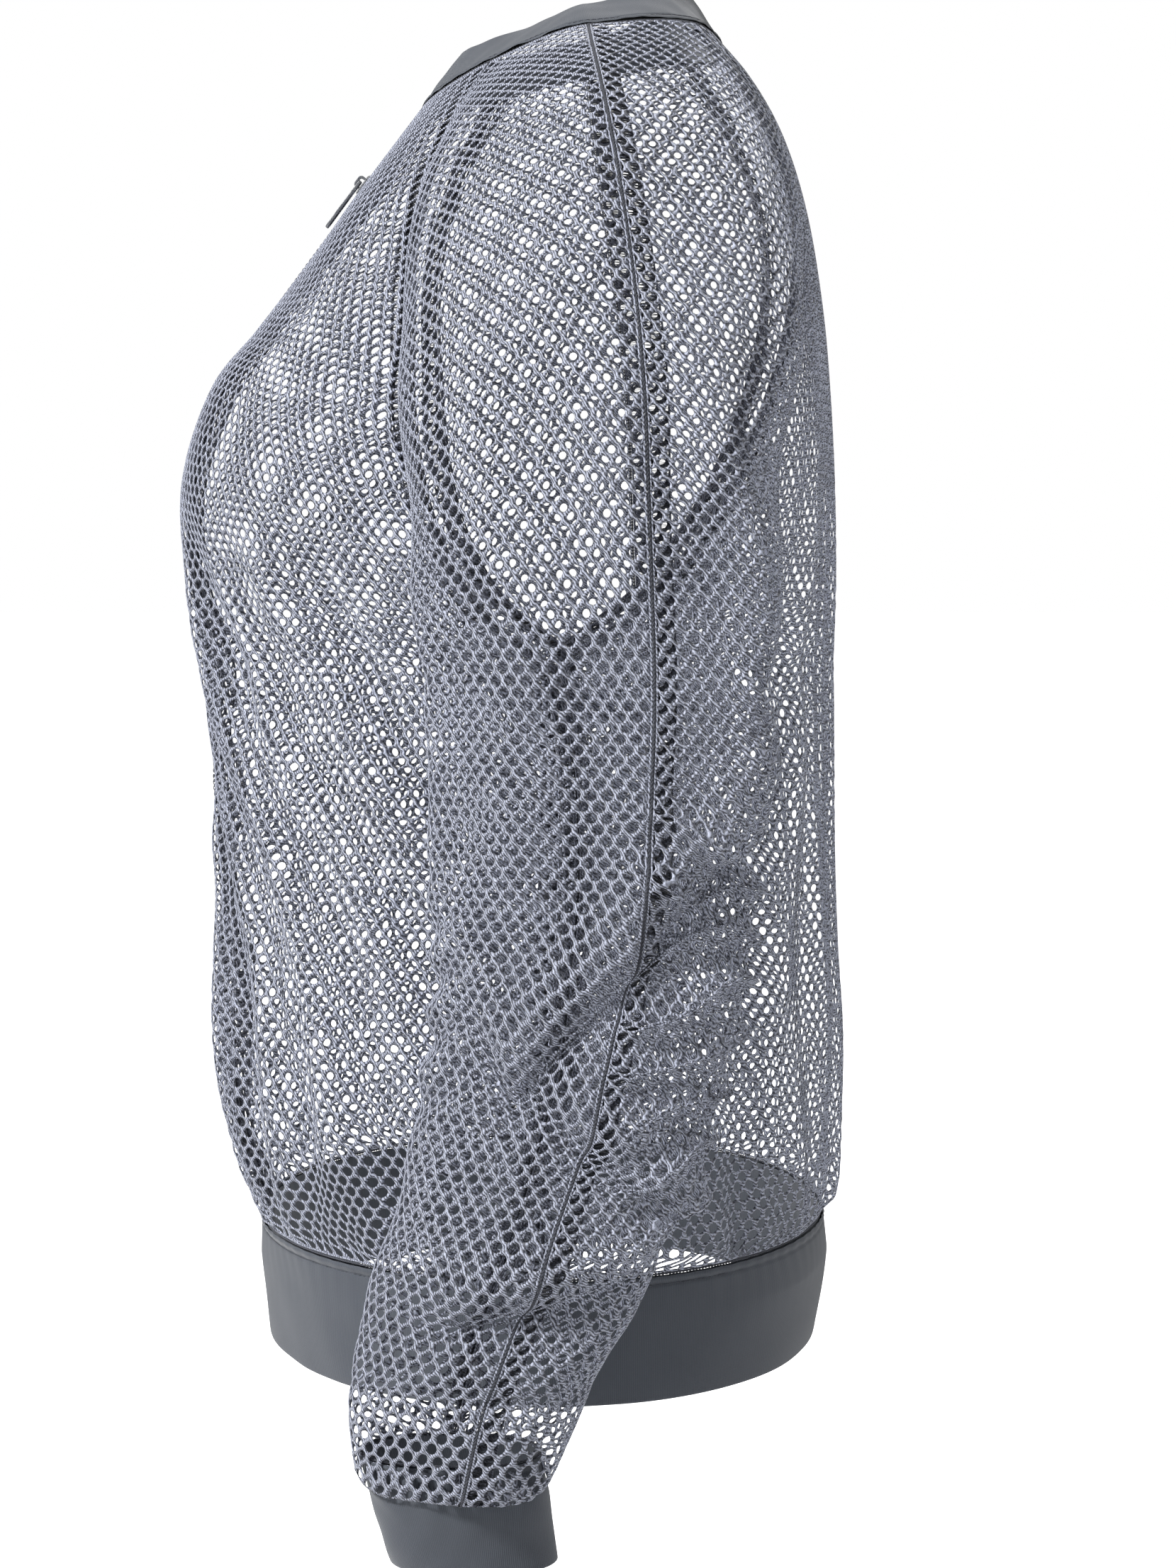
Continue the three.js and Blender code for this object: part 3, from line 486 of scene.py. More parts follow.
def net(cut, low, high, phase=(0.0, 0.0), raised=0.0):
    """Open mesh between cloth coordinates low(t) and high(t) across, over the cut's whole height.
    Returns points, triangles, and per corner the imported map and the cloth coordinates."""
    rows = np.arange(-1, int(cut.height / ROW) + 3)
    t_row = rows * ROW + phase[1]
    widest = np.abs(high(cut.t)).max()
    columns = np.arange(-2, int(widest / PITCH) + 3) + int(low(cut.t).min() / PITCH)
    columns = np.arange(columns[0] - 1, int(widest / PITCH) + 3)
    s = (columns[None, :] + 0.5 * (rows[:, None] % 2)) * PITCH + phase[0]
    t = t_row[:, None] + np.zeros_like(s)
    inside = np.clip(t, BORDER, cut.height - BORDER)
    keep = (s > low(inside) - PITCH) & (s < high(inside) + PITCH)
    keep &= (t > -ROW) & (t < cut.height + ROW)
    centre = np.stack([s[keep], t[keep]], axis=1)
    cells = len(centre)

    point_up = ROW / 2 + PITCH**2 / (8 * ROW)
    point_side = ROW / 2 - PITCH**2 / (8 * ROW)
    corners = np.array([
        (0, point_up), (-PITCH / 2, point_side), (-PITCH / 2, -point_side),
        (0, -point_up), (PITCH / 2, -point_side), (PITCH / 2, point_side),
    ])
    # The hole's first point faces the first corner, and so on, two points to each corner.
    turn = np.arctan2(corners[:, 1], corners[:, 0])
    turn = np.unwrap(turn)
    middle = (turn + np.append(turn[1:], turn[0] + 2 * np.pi)) / 2
    around = np.stack([turn, middle], axis=1).ravel()
    hole = np.stack([HOLE[0] * np.cos(around), HOLE[1] * np.sin(around)], axis=1)

    hexagon = (centre[:, None] + corners).reshape(-1, 2)
    bars, shared = joined_points(hexagon, np.arange(cells * 6).reshape(cells, 6))
    rim = (centre[:, None] + hole).reshape(-1, 2)

    def held(st):
        """The points brought in to the border, and which sides of it each is on, as bits."""
        t = np.clip(st[:, 1], BORDER, cut.height - BORDER)
        a = low(t) + BORDER
        b = np.maximum(high(t) - BORDER, a + 1e-5)
        s = np.clip(st[:, 0], a, b)
        sides = (s <= a) + 2 * (s >= b) + 4 * (t <= BORDER) + 8 * (t >= cut.height - BORDER)
        return np.stack([s, t], axis=1), sides.astype(int)

    bars, bar_sides = held(bars)
    rim, rim_sides = held(rim)
    sides = np.concatenate([bar_sides, bar_sides, rim_sides])
    count = len(bars)
    ring = 2 * count + np.arange(cells * HOLE_SIDES).reshape(cells, HOLE_SIDES)
    front = []
    for k in range(6):
        before, facing, after = ring[:, (2 * k - 1) % 12], ring[:, 2 * k], ring[:, (2 * k + 1) % 12]
        corner, following = shared[:, k], shared[:, (k + 1) % 6]
        for a, b, c in ((corner, before, facing), (corner, facing, after), (corner, after, following)):
            front.append(np.stack([a, b, c], axis=1))
    front = np.concatenate(front)
    flat = np.concatenate([bars, bars, rim])
    beyond = np.bitwise_and.reduce(sides[front], axis=1) > 0
    front = front[~beyond & (two_sided_area(flat[front]) > 1e-12)]

    def other_face(index):
        return np.where(index < count, index + count, index)

    # A wall closes the cut edge, between the two faces.
    edges = np.concatenate([front[:, [0, 1]], front[:, [1, 2]], front[:, [2, 0]]])
    _, first, uses = np.unique(np.sort(edges, axis=1), axis=0, return_index=True, return_counts=True)
    edges = edges[first[uses == 1]]
    a, b = edges[(edges < count).any(axis=1)].T
    wall = np.concatenate([np.stack([b, a, other_face(a)], axis=1),
                           np.stack([b, other_face(a), other_face(b)], axis=1)])
    wall = wall[(wall[:, 0] != wall[:, 1]) & (wall[:, 1] != wall[:, 2]) & (wall[:, 2] != wall[:, 0])]

    for st in (bars, rim):  # real cloth is never quite even
        st[:, 0] += UNEVEN * np.sin(st[:, 1] * 410 + 3 * np.sin(st[:, 0] * 90))
        st[:, 1] += UNEVEN * np.sin(st[:, 0] * 370 + 2 * np.sin(st[:, 1] * 110))
    points = np.concatenate([
        cut.point(bars[:, 0], bars[:, 1], raised + YARN),
        cut.point(bars[:, 0], bars[:, 1], raised - YARN),
        cut.point(rim[:, 0], rim[:, 1], raised),
    ])
    faces = np.concatenate([front, other_face(front)[:, ::-1], wall])
    layer = np.repeat((0.0, 1.0, 1.0), (len(front), len(front), len(wall)))
    corner = points[front]
    out = np.cross(corner[:, 1] - corner[:, 0], corner[:, 2] - corner[:, 0])
    if (out * cut.facing(*flat[front[:, 0]].T)).sum() < 0:
        faces = faces[:, ::-1]
    cloth = flat[faces]
    size = max(flat.max(axis=0) - flat.min(axis=0))
    packed = (cloth - flat.min(axis=0)) / size * 0.49
    packed[..., 0] += 0.5 * layer[:, None]

    # The border is a fine cord around the cut edge.
    t = np.linspace(BORDER, cut.height - BORDER, int(cut.height / 0.004))
    a, b = low(t) + BORDER, np.maximum(high(t) - BORDER, low(t) + BORDER + 0.001)
    across = np.linspace(0, 1, max(int((b - a).max() / 0.004), 3))[1:-1]
    outline = np.concatenate([
        np.stack([a, t], axis=1),
        np.stack([a[-1] + across * (b[-1] - a[-1]), np.full(len(across), t[-1])], axis=1),
        np.stack([b, t], axis=1)[::-1],
        np.stack([b[0] + across * (a[0] - b[0]), np.full(len(across), t[0])], axis=1),
    ])
    line = cut.point(outline[:, 0], outline[:, 1], raised)
    cord_points, cord_faces, cord_uv = tube(line, BORDER_CORD, 5, closed=True)
    cord_faces, cord_uv = triangles(cord_faces, cord_uv)
    faces = np.concatenate([faces, cord_faces + len(points)])
    points = np.concatenate([points, cord_points])
    packed = np.concatenate([packed, cord_uv * (0.98, 0.02) + (0.01, 0.6)])
    cloth = np.concatenate([cloth, cord_uv * (np.linalg.norm(np.diff(line, axis=0), axis=1).sum(), 0.003)])
    return points, faces, packed, cloth


# ---------------------------------------------------------------- materials: shared effects


def group(name, inputs, outputs):
    """A shader node group with the named inputs (name: type, value) and outputs (name: type)."""
    tree = bpy.data.node_groups.new(name, "ShaderNodeTree")
    for label, (kind, value) in inputs.items():
        socket = tree.interface.new_socket(label, in_out="INPUT", socket_type=kind)
        if value is not None:
            socket.default_value = value
    for label, kind in outputs.items():
        tree.interface.new_socket(label, in_out="OUTPUT", socket_type=kind)
    return tree, tree.nodes.new("NodeGroupInput"), tree.nodes.new("NodeGroupOutput")


def node(tree, kind, links=(), **values):
    """A node with its settings and input values, and links (input, socket) into it."""
    made = tree.nodes.new(kind)
    for key, value in values.items():
        if hasattr(made, key):
            setattr(made, key, value)
        else:
            made.inputs[key.replace("_", " ")].default_value = value
    for target, source in links:
        tree.links.new(source, made.inputs[target])
    return made


def maths(tree, operation, a, b=None, clamp=False):
    made = tree.nodes.new("ShaderNodeMath")
    made.operation = operation
    made.use_clamp = clamp
    for index, value in enumerate((a, b)):
        if value is None:
            continue
        if isinstance(value, (int, float)):
            made.inputs[index].default_value = value
        else:
            tree.links.new(value, made.inputs[index])
    return made.outputs[0]


FLOAT, COLOUR, VECTOR = "NodeSocketFloat", "NodeSocketColor", "NodeSocketVector"


def yarn_twist_group():
    """Fine filaments and slubs of a knitted yarn: a mask for colour and a height for the bump."""
    tree, start, end = group("Yarn twist", {"Place": (VECTOR, None), "Filament": (FLOAT, 0.00045),
                                            "Slub": (FLOAT, 0.012)},
                             {"Mask": FLOAT, "Slubs": FLOAT, "Height": FLOAT})
    fine_scale = maths(tree, "DIVIDE", 1.0, start.outputs["Filament"])
    fine = node(tree, "ShaderNodeTexNoise", [("Vector", start.outputs["Place"]), ("Scale", fine_scale)],
                Detail=3.0, Roughness=0.65)
    wave = node(tree, "ShaderNodeTexWave", [("Vector", start.outputs["Place"]), ("Scale", maths(
        tree, "MULTIPLY", fine_scale, 0.35))], bands_direction="DIAGONAL", Distortion=6.0)
    slub = node(tree, "ShaderNodeTexNoise", [
        ("Vector", start.outputs["Place"]), ("Scale", maths(tree, "DIVIDE", 1.0, start.outputs["Slub"]))],
        Detail=2.0, Roughness=0.5)
    both = maths(tree, "ADD", maths(tree, "MULTIPLY", fine.outputs["Fac"], 0.6),
                 maths(tree, "MULTIPLY", wave.outputs["Fac"], 0.4))
    tree.links.new(both, end.inputs["Mask"])
    tree.links.new(slub.outputs["Fac"], end.inputs["Slubs"])
    tree.links.new(both, end.inputs["Height"])
    return tree


def stockinette_group():
    """The rows of small loops on a fine knit: a mask of painted shade, light on the loops and dark in the
    grooves between them, and their height.
    """
    tree, start, end = group("Stockinette", {"Cloth": (VECTOR, None), "Wale": (FLOAT, 0.0009),
                                             "Course": (FLOAT, 0.0007)},
                             {"Loops": FLOAT, "Height": FLOAT})
    split = node(tree, "ShaderNodeSeparateXYZ", [("Vector", start.outputs["Cloth"])])
    across = maths(tree, "DIVIDE", split.outputs["X"], start.outputs["Wale"])
    down = maths(tree, "DIVIDE", split.outputs["Y"], start.outputs["Course"])
    wale = maths(tree, "ABSOLUTE", maths(tree, "SINE", maths(tree, "MULTIPLY", across, math.pi)))
    lean = maths(tree, "MULTIPLY", wale, 0.8)
    loop = maths(tree, "SINE", maths(tree, "MULTIPLY", maths(tree, "ADD", down, lean), 2 * math.pi))
    height = maths(tree, "ADD", maths(tree, "MULTIPLY", wale, 0.7), maths(tree, "MULTIPLY", loop, 0.15))
    tree.links.new(height, end.inputs["Height"])
    # The colour mask follows the height: painted shade in the grooves between the loops.
    tree.links.new(maths(tree, "MULTIPLY", height, 1.1, clamp=True), end.inputs["Loops"])
    return tree


def edge_wear_group():
    """Bare patches on raised edges: a mask from how sharply the surface bends, broken up by grain."""
    tree, start, end = group("Edge wear", {"Place": (VECTOR, None), "Amount": (FLOAT, 0.5)}, {"Worn": FLOAT})
    shape = node(tree, "ShaderNodeNewGeometry")
    grain = node(tree, "ShaderNodeTexNoise", [("Vector", start.outputs["Place"])], Scale=900.0, Detail=4.0)
    sharp = maths(tree, "SUBTRACT", shape.outputs["Pointiness"], 0.505)
    edge = maths(tree, "MULTIPLY", sharp, 14.0, clamp=True)
    broken = maths(tree, "MULTIPLY", edge, maths(tree, "MULTIPLY", grain.outputs["Fac"], 1.8))
    tree.links.new(maths(tree, "MULTIPLY", broken, start.outputs["Amount"], clamp=True), end.inputs["Worn"])
    return tree


YARN_TWIST = yarn_twist_group()
STOCKINETTE = stockinette_group()
EDGE_WEAR = edge_wear_group()


def new_material(name, **sockets):
    material = bpy.data.materials.new(name)
    material.use_nodes = True
    tree = material.node_tree
    tree.nodes.clear()
    shader = tree.nodes.new("ShaderNodeBsdfPrincipled")
    output = tree.nodes.new("ShaderNodeOutputMaterial")
    tree.links.new(shader.outputs[0], output.inputs[0])
    for key, value in sockets.items():
        shader.inputs[key.replace("_", " ")].default_value = value
    return material, tree, shader


def use_group(tree, source, **values):
    made = tree.nodes.new("ShaderNodeGroup")
    made.node_tree = source
    for key, value in values.items():
        target = made.inputs[key]
        if isinstance(value, (int, float)):
            target.default_value = value
        else:
            tree.links.new(value, target)
    return made


def mix_colour(tree, factor, a, b):
    made = tree.nodes.new("ShaderNodeMix")
    made.data_type = "RGBA"
    for index, value in ((0, factor), (6, a), (7, b)):
        if isinstance(value, (int, float)):
            made.inputs[index].default_value = value
        elif isinstance(value, tuple):
            made.inputs[index].default_value = (*value, 1.0)
        else:
            tree.links.new(value, made.inputs[index])
    return made.outputs[2]


def add_bump(tree, shader, height, distance, strength=1.0):
    made = tree.nodes.new("ShaderNodeBump")
    made.inputs["Strength"].default_value = strength
    made.inputs["Distance"].default_value = distance
    tree.links.new(height, made.inputs["Height"])
    tree.links.new(made.outputs[0], shader.inputs["Normal"])


def mesh_cloth_material(name, pale, deep):
    """Lustrous filament polyester, knitted into the open mesh."""
    material, tree, shader = new_material(name, Roughness=0.5, Sheen_Weight=0.25, Sheen_Roughness=0.4)
    place = node(tree, "ShaderNodeTexCoord").outputs["Object"]
    twist = use_group(tree, YARN_TWIST, Place=place, Filament=0.0010, Slub=0.03)
    strands = maths(tree, "MULTIPLY", maths(tree, "SUBTRACT", twist.outputs["Mask"], 0.30), 2.6, clamp=True)
    colour = mix_colour(tree, strands, deep, pale)
    aged = mix_colour(tree, maths(tree, "MULTIPLY", twist.outputs["Slubs"], 0.3), colour, deep)
    tree.links.new(aged, shader.inputs["Base Color"])
    rough = maths(tree, "ADD", 0.38, maths(tree, "MULTIPLY", twist.outputs["Mask"], 0.3))
    tree.links.new(rough, shader.inputs["Roughness"])
    add_bump(tree, shader, twist.outputs["Height"], 0.0005, 0.9)
    return material


def knit_band_material():
    """Smooth slate-grey stretch knit, with faint darker patches at random."""
    material, tree, shader = new_material("Slate stretch knit", Roughness=0.85, Sheen_Weight=0.3,
                                          Sheen_Roughness=0.5)
    cloth = node(tree, "ShaderNodeUVMap", uv_map="Cloth").outputs[0]
    place = node(tree, "ShaderNodeTexCoord").outputs["Object"]
    loops = use_group(tree, STOCKINETTE, Cloth=cloth, Wale=0.0009, Course=0.0007)
    twist = use_group(tree, YARN_TWIST, Place=place, Filament=0.0004, Slub=0.03)
    # Darker between the loops and lighter on them: painted shade.
    colour = mix_colour(tree, loops.outputs["Loops"], (0.050, 0.058, 0.074), (0.100, 0.113, 0.137))
    slubs = maths(tree, "MULTIPLY", twist.outputs["Slubs"], 0.45)
    worn = mix_colour(tree, slubs, colour, (0.058, 0.066, 0.082))
    tree.links.new(worn, shader.inputs["Base Color"])
    rough = maths(tree, "ADD", 0.74, maths(tree, "MULTIPLY", twist.outputs["Mask"], 0.2))
    tree.links.new(rough, shader.inputs["Roughness"])
    fuzz = maths(tree, "MULTIPLY", twist.outputs["Height"], 0.3)
    height = maths(tree, "ADD", loops.outputs["Height"], fuzz)
    add_bump(tree, shader, height, 0.00012, 0.7)
    return material


def thread_material():
    """Textured polyester thread of the overlocked seams: a dark thread, deepened to near black as painted
    shade so the holes along the seams read dark.
    """
    material, tree, shader = new_material("Overlock thread", Roughness=0.6, Sheen_Weight=0.2)
    place = node(tree, "ShaderNodeTexCoord").outputs["Object"]
    twist = use_group(tree, YARN_TWIST, Place=place, Filament=0.0003, Slub=0.01)
    # Near black to dark grey: the thread's own dark colour, deepened with painted shade.
    colour = mix_colour(tree, twist.outputs["Mask"], (0.020, 0.022, 0.030), (0.085, 0.092, 0.122))
    tree.links.new(colour, shader.inputs["Base Color"])
    add_bump(tree, shader, twist.outputs["Height"], 0.0002, 0.8)
    return material


def tape_material():
    """Woven zip tape: fine lengthwise ribs."""
    material, tree, shader = new_material("Zip tape", Roughness=0.8, Sheen_Weight=0.15)
    cloth = node(tree, "ShaderNodeUVMap", uv_map="Cloth").outputs[0]
    place = node(tree, "ShaderNodeTexCoord").outputs["Object"]
    weave = use_group(tree, STOCKINETTE, Cloth=cloth, Wale=0.0007, Course=0.0005)
    twist = use_group(tree, YARN_TWIST, Place=place, Filament=0.0004, Slub=0.02)
    # Darker between the ribs and lighter on them: painted shade.
    colour = mix_colour(tree, weave.outputs["Loops"], (0.045, 0.050, 0.062), (0.095, 0.104, 0.125))
    tree.links.new(mix_colour(tree, maths(tree, "MULTIPLY", twist.outputs["Slubs"], 0.3), colour,
                              (0.05, 0.055, 0.07)), shader.inputs["Base Color"])
    add_bump(tree, shader, weave.outputs["Height"], 0.00015, 0.8)
    return material


def tooth_material():
    """Moulded zip teeth with a satin skin and a trace of flow marks."""
    material, tree, shader = new_material("Moulded teeth", Roughness=0.4, Coat_Weight=0.1)
    place = node(tree, "ShaderNodeTexCoord").outputs["Object"]
    flow = node(tree, "ShaderNodeTexNoise", [("Vector", place)], Scale=420.0, Detail=3.0)
    colour = mix_colour(tree, flow.outputs["Fac"], (0.040, 0.044, 0.054), (0.085, 0.092, 0.110))
    tree.links.new(colour, shader.inputs["Base Color"])
    tree.links.new(maths(tree, "ADD", 0.3, maths(tree, "MULTIPLY", flow.outputs["Fac"], 0.25)),
                   shader.inputs["Roughness"])
    add_bump(tree, shader, flow.outputs["Fac"], 0.00006, 0.5)
    return material


def enamel_material():
    """Grey enamelled zinc, rubbed bright on its edges."""
    material, tree, shader = new_material("Enamelled zinc", Roughness=0.35)
    place = node(tree, "ShaderNodeTexCoord").outputs["Object"]
    wear = use_group(tree, EDGE_WEAR, Place=place, Amount=0.8)
    speck = node(tree, "ShaderNodeTexNoise", [("Vector", place)], Scale=1500.0, Detail=3.0)
    enamel = mix_colour(tree, speck.outputs["Fac"], (0.075, 0.083, 0.100), (0.12, 0.13, 0.155))
    tree.links.new(mix_colour(tree, wear.outputs["Worn"], enamel, (0.55, 0.56, 0.58)),
                   shader.inputs["Base Color"])
    tree.links.new(maths(tree, "ADD", 0.15, wear.outputs["Worn"], clamp=True), shader.inputs["Metallic"])
    tree.links.new(maths(tree, "ADD", 0.28, maths(tree, "MULTIPLY", speck.outputs["Fac"], 0.18)),
                   shader.inputs["Roughness"])
    add_bump(tree, shader, speck.outputs["Fac"], 0.00003, 0.4)
    return material


MESH_CLOTH = mesh_cloth_material("Blue-grey mesh yarn", (0.66, 0.70, 0.85), (0.055, 0.058, 0.078))
# A darker copy of the mesh yarn for the strips turned in under the panels: painted shade, standing in for the
# shade between the layers.
PAINTED_SHADE_SEAM_CLOTH = mesh_cloth_material("Shaded mesh yarn of the turned edges", (0.20, 0.215, 0.28),
                                 (0.030, 0.032, 0.045))
KNIT_BAND = knit_band_material()
THREAD = thread_material()
TAPE = tape_material()
TEETH = tooth_material()
ENAMEL = enamel_material()

# ---------------------------------------------------------------- mesh panels

ALLOWANCE = 0.011  # cloth turned in at each seam
FACING = 0.028  # cloth turned in beside the zip
LAYER = 0.0012  # from one layer of mesh to the next
THROAT = UNDERARM / (len(FRONT) - 1)  # the underarm, as a share of the way down the body
ARMPIT = UNDERARM / (UNDERARM + len(SLEEVE_RINGS))  # and down the sleeve


def zero(t):
    return np.zeros_like(np.asarray(t, float))


def first_edge(cut, width):
    return zero, lambda t: np.minimum(cut.width_at(t), width)


def last_edge(cut, width):
    return lambda t: np.maximum(cut.width_at(t) - width, 0), cut.width_at


def make_net(name, cut, low, high, **options):
    points, faces, packed, cloth = net(cut, low, high, **options)
    return mesh_object(name, points, faces, packed.reshape(-1, 2), cloth.reshape(-1, 2))


def make_panel(name, cut, low, high, turned):
    """A panel and the strips turned in along its edges. turned: [(strip name, low, high)].
    The flat size is read off the modelled cut; the area leaves out the holes."""
    panel = make_net(name + "_mesh", cut, low, high)
    for k, (label, strip_low, strip_high) in enumerate(turned):
        strip = make_net(f"{name}_{label}", cut, strip_low, strip_high,
                         phase=(PITCH * (0.37 + 0.21 * k), ROW * 0.55), raised=-2 * LAYER)
        # The turned-in strips take the darker yarn, which is painted shade.
        finish_piece(strip, PAINTED_SHADE_SEAM_CLOTH, "jacket")
    finish_piece(panel, MESH_CLOTH, "jacket", [name])
    across = float((high(cut.t) - low(cut.t)).max())
    area = float(np.trapz(high(cut.t) - low(cut.t), cut.t)) * (1 - HOLE_SHARE)


cuts = {}
for side in ("left", "right"):
    mirror = side == "right"
    cut = cuts["front", side] = Cut(front_surface, body_folds, THROAT, mirror)
    make_panel(f"front_panel_{side}", cut, zero, cut.width_at, [
        ("seam_allowance", *last_edge(cut, ALLOWANCE)), ("zip_facing", *first_edge(cut, FACING))])
    cut = cuts["sleeve_front", side] = Cut(sleeve_surfaces["front"], sleeve_folds, ARMPIT, mirror)
    make_panel(f"sleeve_front_{side}", cut, zero, cut.width_at, [
        ("raglan_allowance", *last_edge(cut, ALLOWANCE * 0.6))])
    cut = cuts["sleeve_back", side] = Cut(sleeve_surfaces["back"], sleeve_folds, ARMPIT, mirror)
    make_panel(f"sleeve_back_{side}", cut, zero, cut.width_at, [
        ("overarm_allowance", *first_edge(cut, ALLOWANCE)),
        ("raglan_allowance", *last_edge(cut, ALLOWANCE * 0.6))])

back_cut = Cut(back_surface, body_folds, THROAT, both=True)
half_back = back_cut.width_at
make_panel("back_panel", back_cut, lambda t: -half_back(t), half_back, [
    ("left_allowance", lambda t: half_back(t) - ALLOWANCE, half_back),
    ("right_allowance", lambda t: -half_back(t), lambda t: ALLOWANCE - half_back(t)),
])

# ---------------------------------------------------------------- knit bands

NECKBAND_WIDTH, HEM_BAND_WIDTH, CUFF_WIDTH = 32 * MM, 58 * MM, 47 * MM
KNIT = 1.8 * MM
NECK_CENTRE = 27 * MM
CUFF_END = drafted((231, -14, -614))
CUFF_HALF_WIDTH, CUFF_HALF_DEPTH = 21 * MM, 34 * MM
NECK_FRONT, NECK_OVERARM, NECK_BACK = 0.3, 0.5, 0.7  # where the neck seam meets each panel's edge


def pieces_by(t, *parts):
    """Joins parts [(up to, function of t)] into one curve."""
    found = np.zeros((*np.shape(t), 3))
    start = -1.0
    for end, part in parts:
        here = (t > start) & (t <= end)
        found[here] = part(np.asarray(t)[here])
        start = end
    return found


def both_sides(curve):
    """t from 0 at the left front edge through 1 at the centre back to 2 at the right front edge."""
    def whole(t, *more):
        found = curve(np.where(t > 1, 2 - t, t), *more)
        return found * np.where(np.asarray(t)[..., None] > 1, (-1, 1, 1), (1, 1, 1))
    return whole


def neck_seam(t):
    front, back = sleeve_surfaces["front"], sleeve_surfaces["back"]
    return pieces_by(
        t,
        (NECK_FRONT, lambda q: front_surface(q / NECK_FRONT, 0 * q)),
        (NECK_OVERARM, lambda q: front(1 - (q - NECK_FRONT) / (NECK_OVERARM - NECK_FRONT), 0 * q)),
        (NECK_BACK, lambda q: back((q - NECK_OVERARM) / (NECK_BACK - NECK_OVERARM), 0 * q)),
        (2.0, lambda q: back_surface(1 - (q - NECK_BACK) / (1 - NECK_BACK), 0 * q)),
    )


def hem_seam(t):
    return pieces_by(t, (0.5, lambda q: front_surface(2 * q, 0 * q + 1)),
                     (2.0, lambda q: back_surface(2 - 2 * q, 0 * q + 1)))


def cuff_seam(t):
    """Once round from the underarm seam (0) through the front to the overarm seam (0.5) and back."""
    t = np.mod(t, 1.0)
    return pieces_by(t, (0.5, lambda q: sleeve_surfaces["front"](1 - 2 * q, 0 * q + 1)),
                     (2.0, lambda q: sleeve_surfaces["back"](2 * q - 1, 0 * q + 1)))


def round_loop(front, side, back, t):
    """Blends front, side and back values round half a loop."""
    front, side, back = (np.asarray(v, float) for v in (front, side, back))
    before = ((1 - np.cos(2 * np.pi * t)) / 2)[..., None]
    return np.where((t < 0.5)[..., None], front + (side - front) * before, back + (side - back) * before)


CHEST_UP = drafted((0, -45, -28)) - drafted((0, -125, -134.4))
CHEST_UP /= np.linalg.norm(CHEST_UP)


def neckband_surface(t, w):
    seam = neck_seam(t)
    rise = round_loop([CHEST_UP[2]], [0.42], [0.86], t)[..., 0]
    inward = np.stack([-seam[..., 0], NECK_CENTRE - seam[..., 1]], axis=-1)
    ease = np.where(t < NECK_FRONT, np.sin(np.pi / 2 * np.minimum(t / NECK_FRONT, 1)), 1.0)
    inward[..., 0] *= ease
    inward *= (np.sqrt(1 - rise**2) / np.linalg.norm(inward, axis=-1))[..., None]
    lean = np.concatenate([inward, rise[..., None]], axis=-1)
    return seam + lean * (w * NECKBAND_WIDTH)[..., None]


def hem_band_surface(t, w):
    inward = round_loop((0, 4, 0), (-4, 0, 0), (0, -6, 0), t) * MM
    inward = inward + (0, 0, -HEM_BAND_WIDTH)
    return hem_seam(t) + inward * w[..., None]


def cuff_surface(t, w):
    angle = 2 * np.pi * t
    end = np.stack([CUFF_END[0] - CUFF_HALF_WIDTH * np.cos(angle),
                    CUFF_END[1] - CUFF_HALF_DEPTH * np.sin(angle), CUFF_END[2] + 0 * angle], axis=-1)
    w = w[..., None]
    return cuff_seam(t) * (1 - w) + end * w + (0, 0, -CUFF_WIDTH) * w


def band_profile(width, thickness):
    """Down the outer face from the seam, round the fold and up the inner face: distance down, stand-off."""
    seam = 0.9 * MM
    down = np.concatenate([np.arange(0.0, 7.0, 0.45) * MM + seam, np.arange(8.0, width / MM - 1.5, 1.6) * MM])
    roll = 0.55 * MM * bump(down - 2.1 * MM, 1.1 * MM) - 0.45 * MM * bump(down - 4.6 * MM, 0.8 * MM)
    pillow = 0.35 * MM * np.sin(np.pi * np.clip(down / width, 0, 1))
    outer = np.stack([down, thickness / 2 + roll + pillow], axis=1)
    turn = np.linspace(0, np.pi, 9)
    fold = np.stack([width - thickness / 2 + thickness / 2 * np.sin(turn), thickness / 2 * np.cos(turn)],
                    axis=1)
    inner = np.stack([down[::-1], -thickness / 2 - 0.6 * pillow[::-1]], axis=1)
    return np.concatenate([outer, fold, inner])


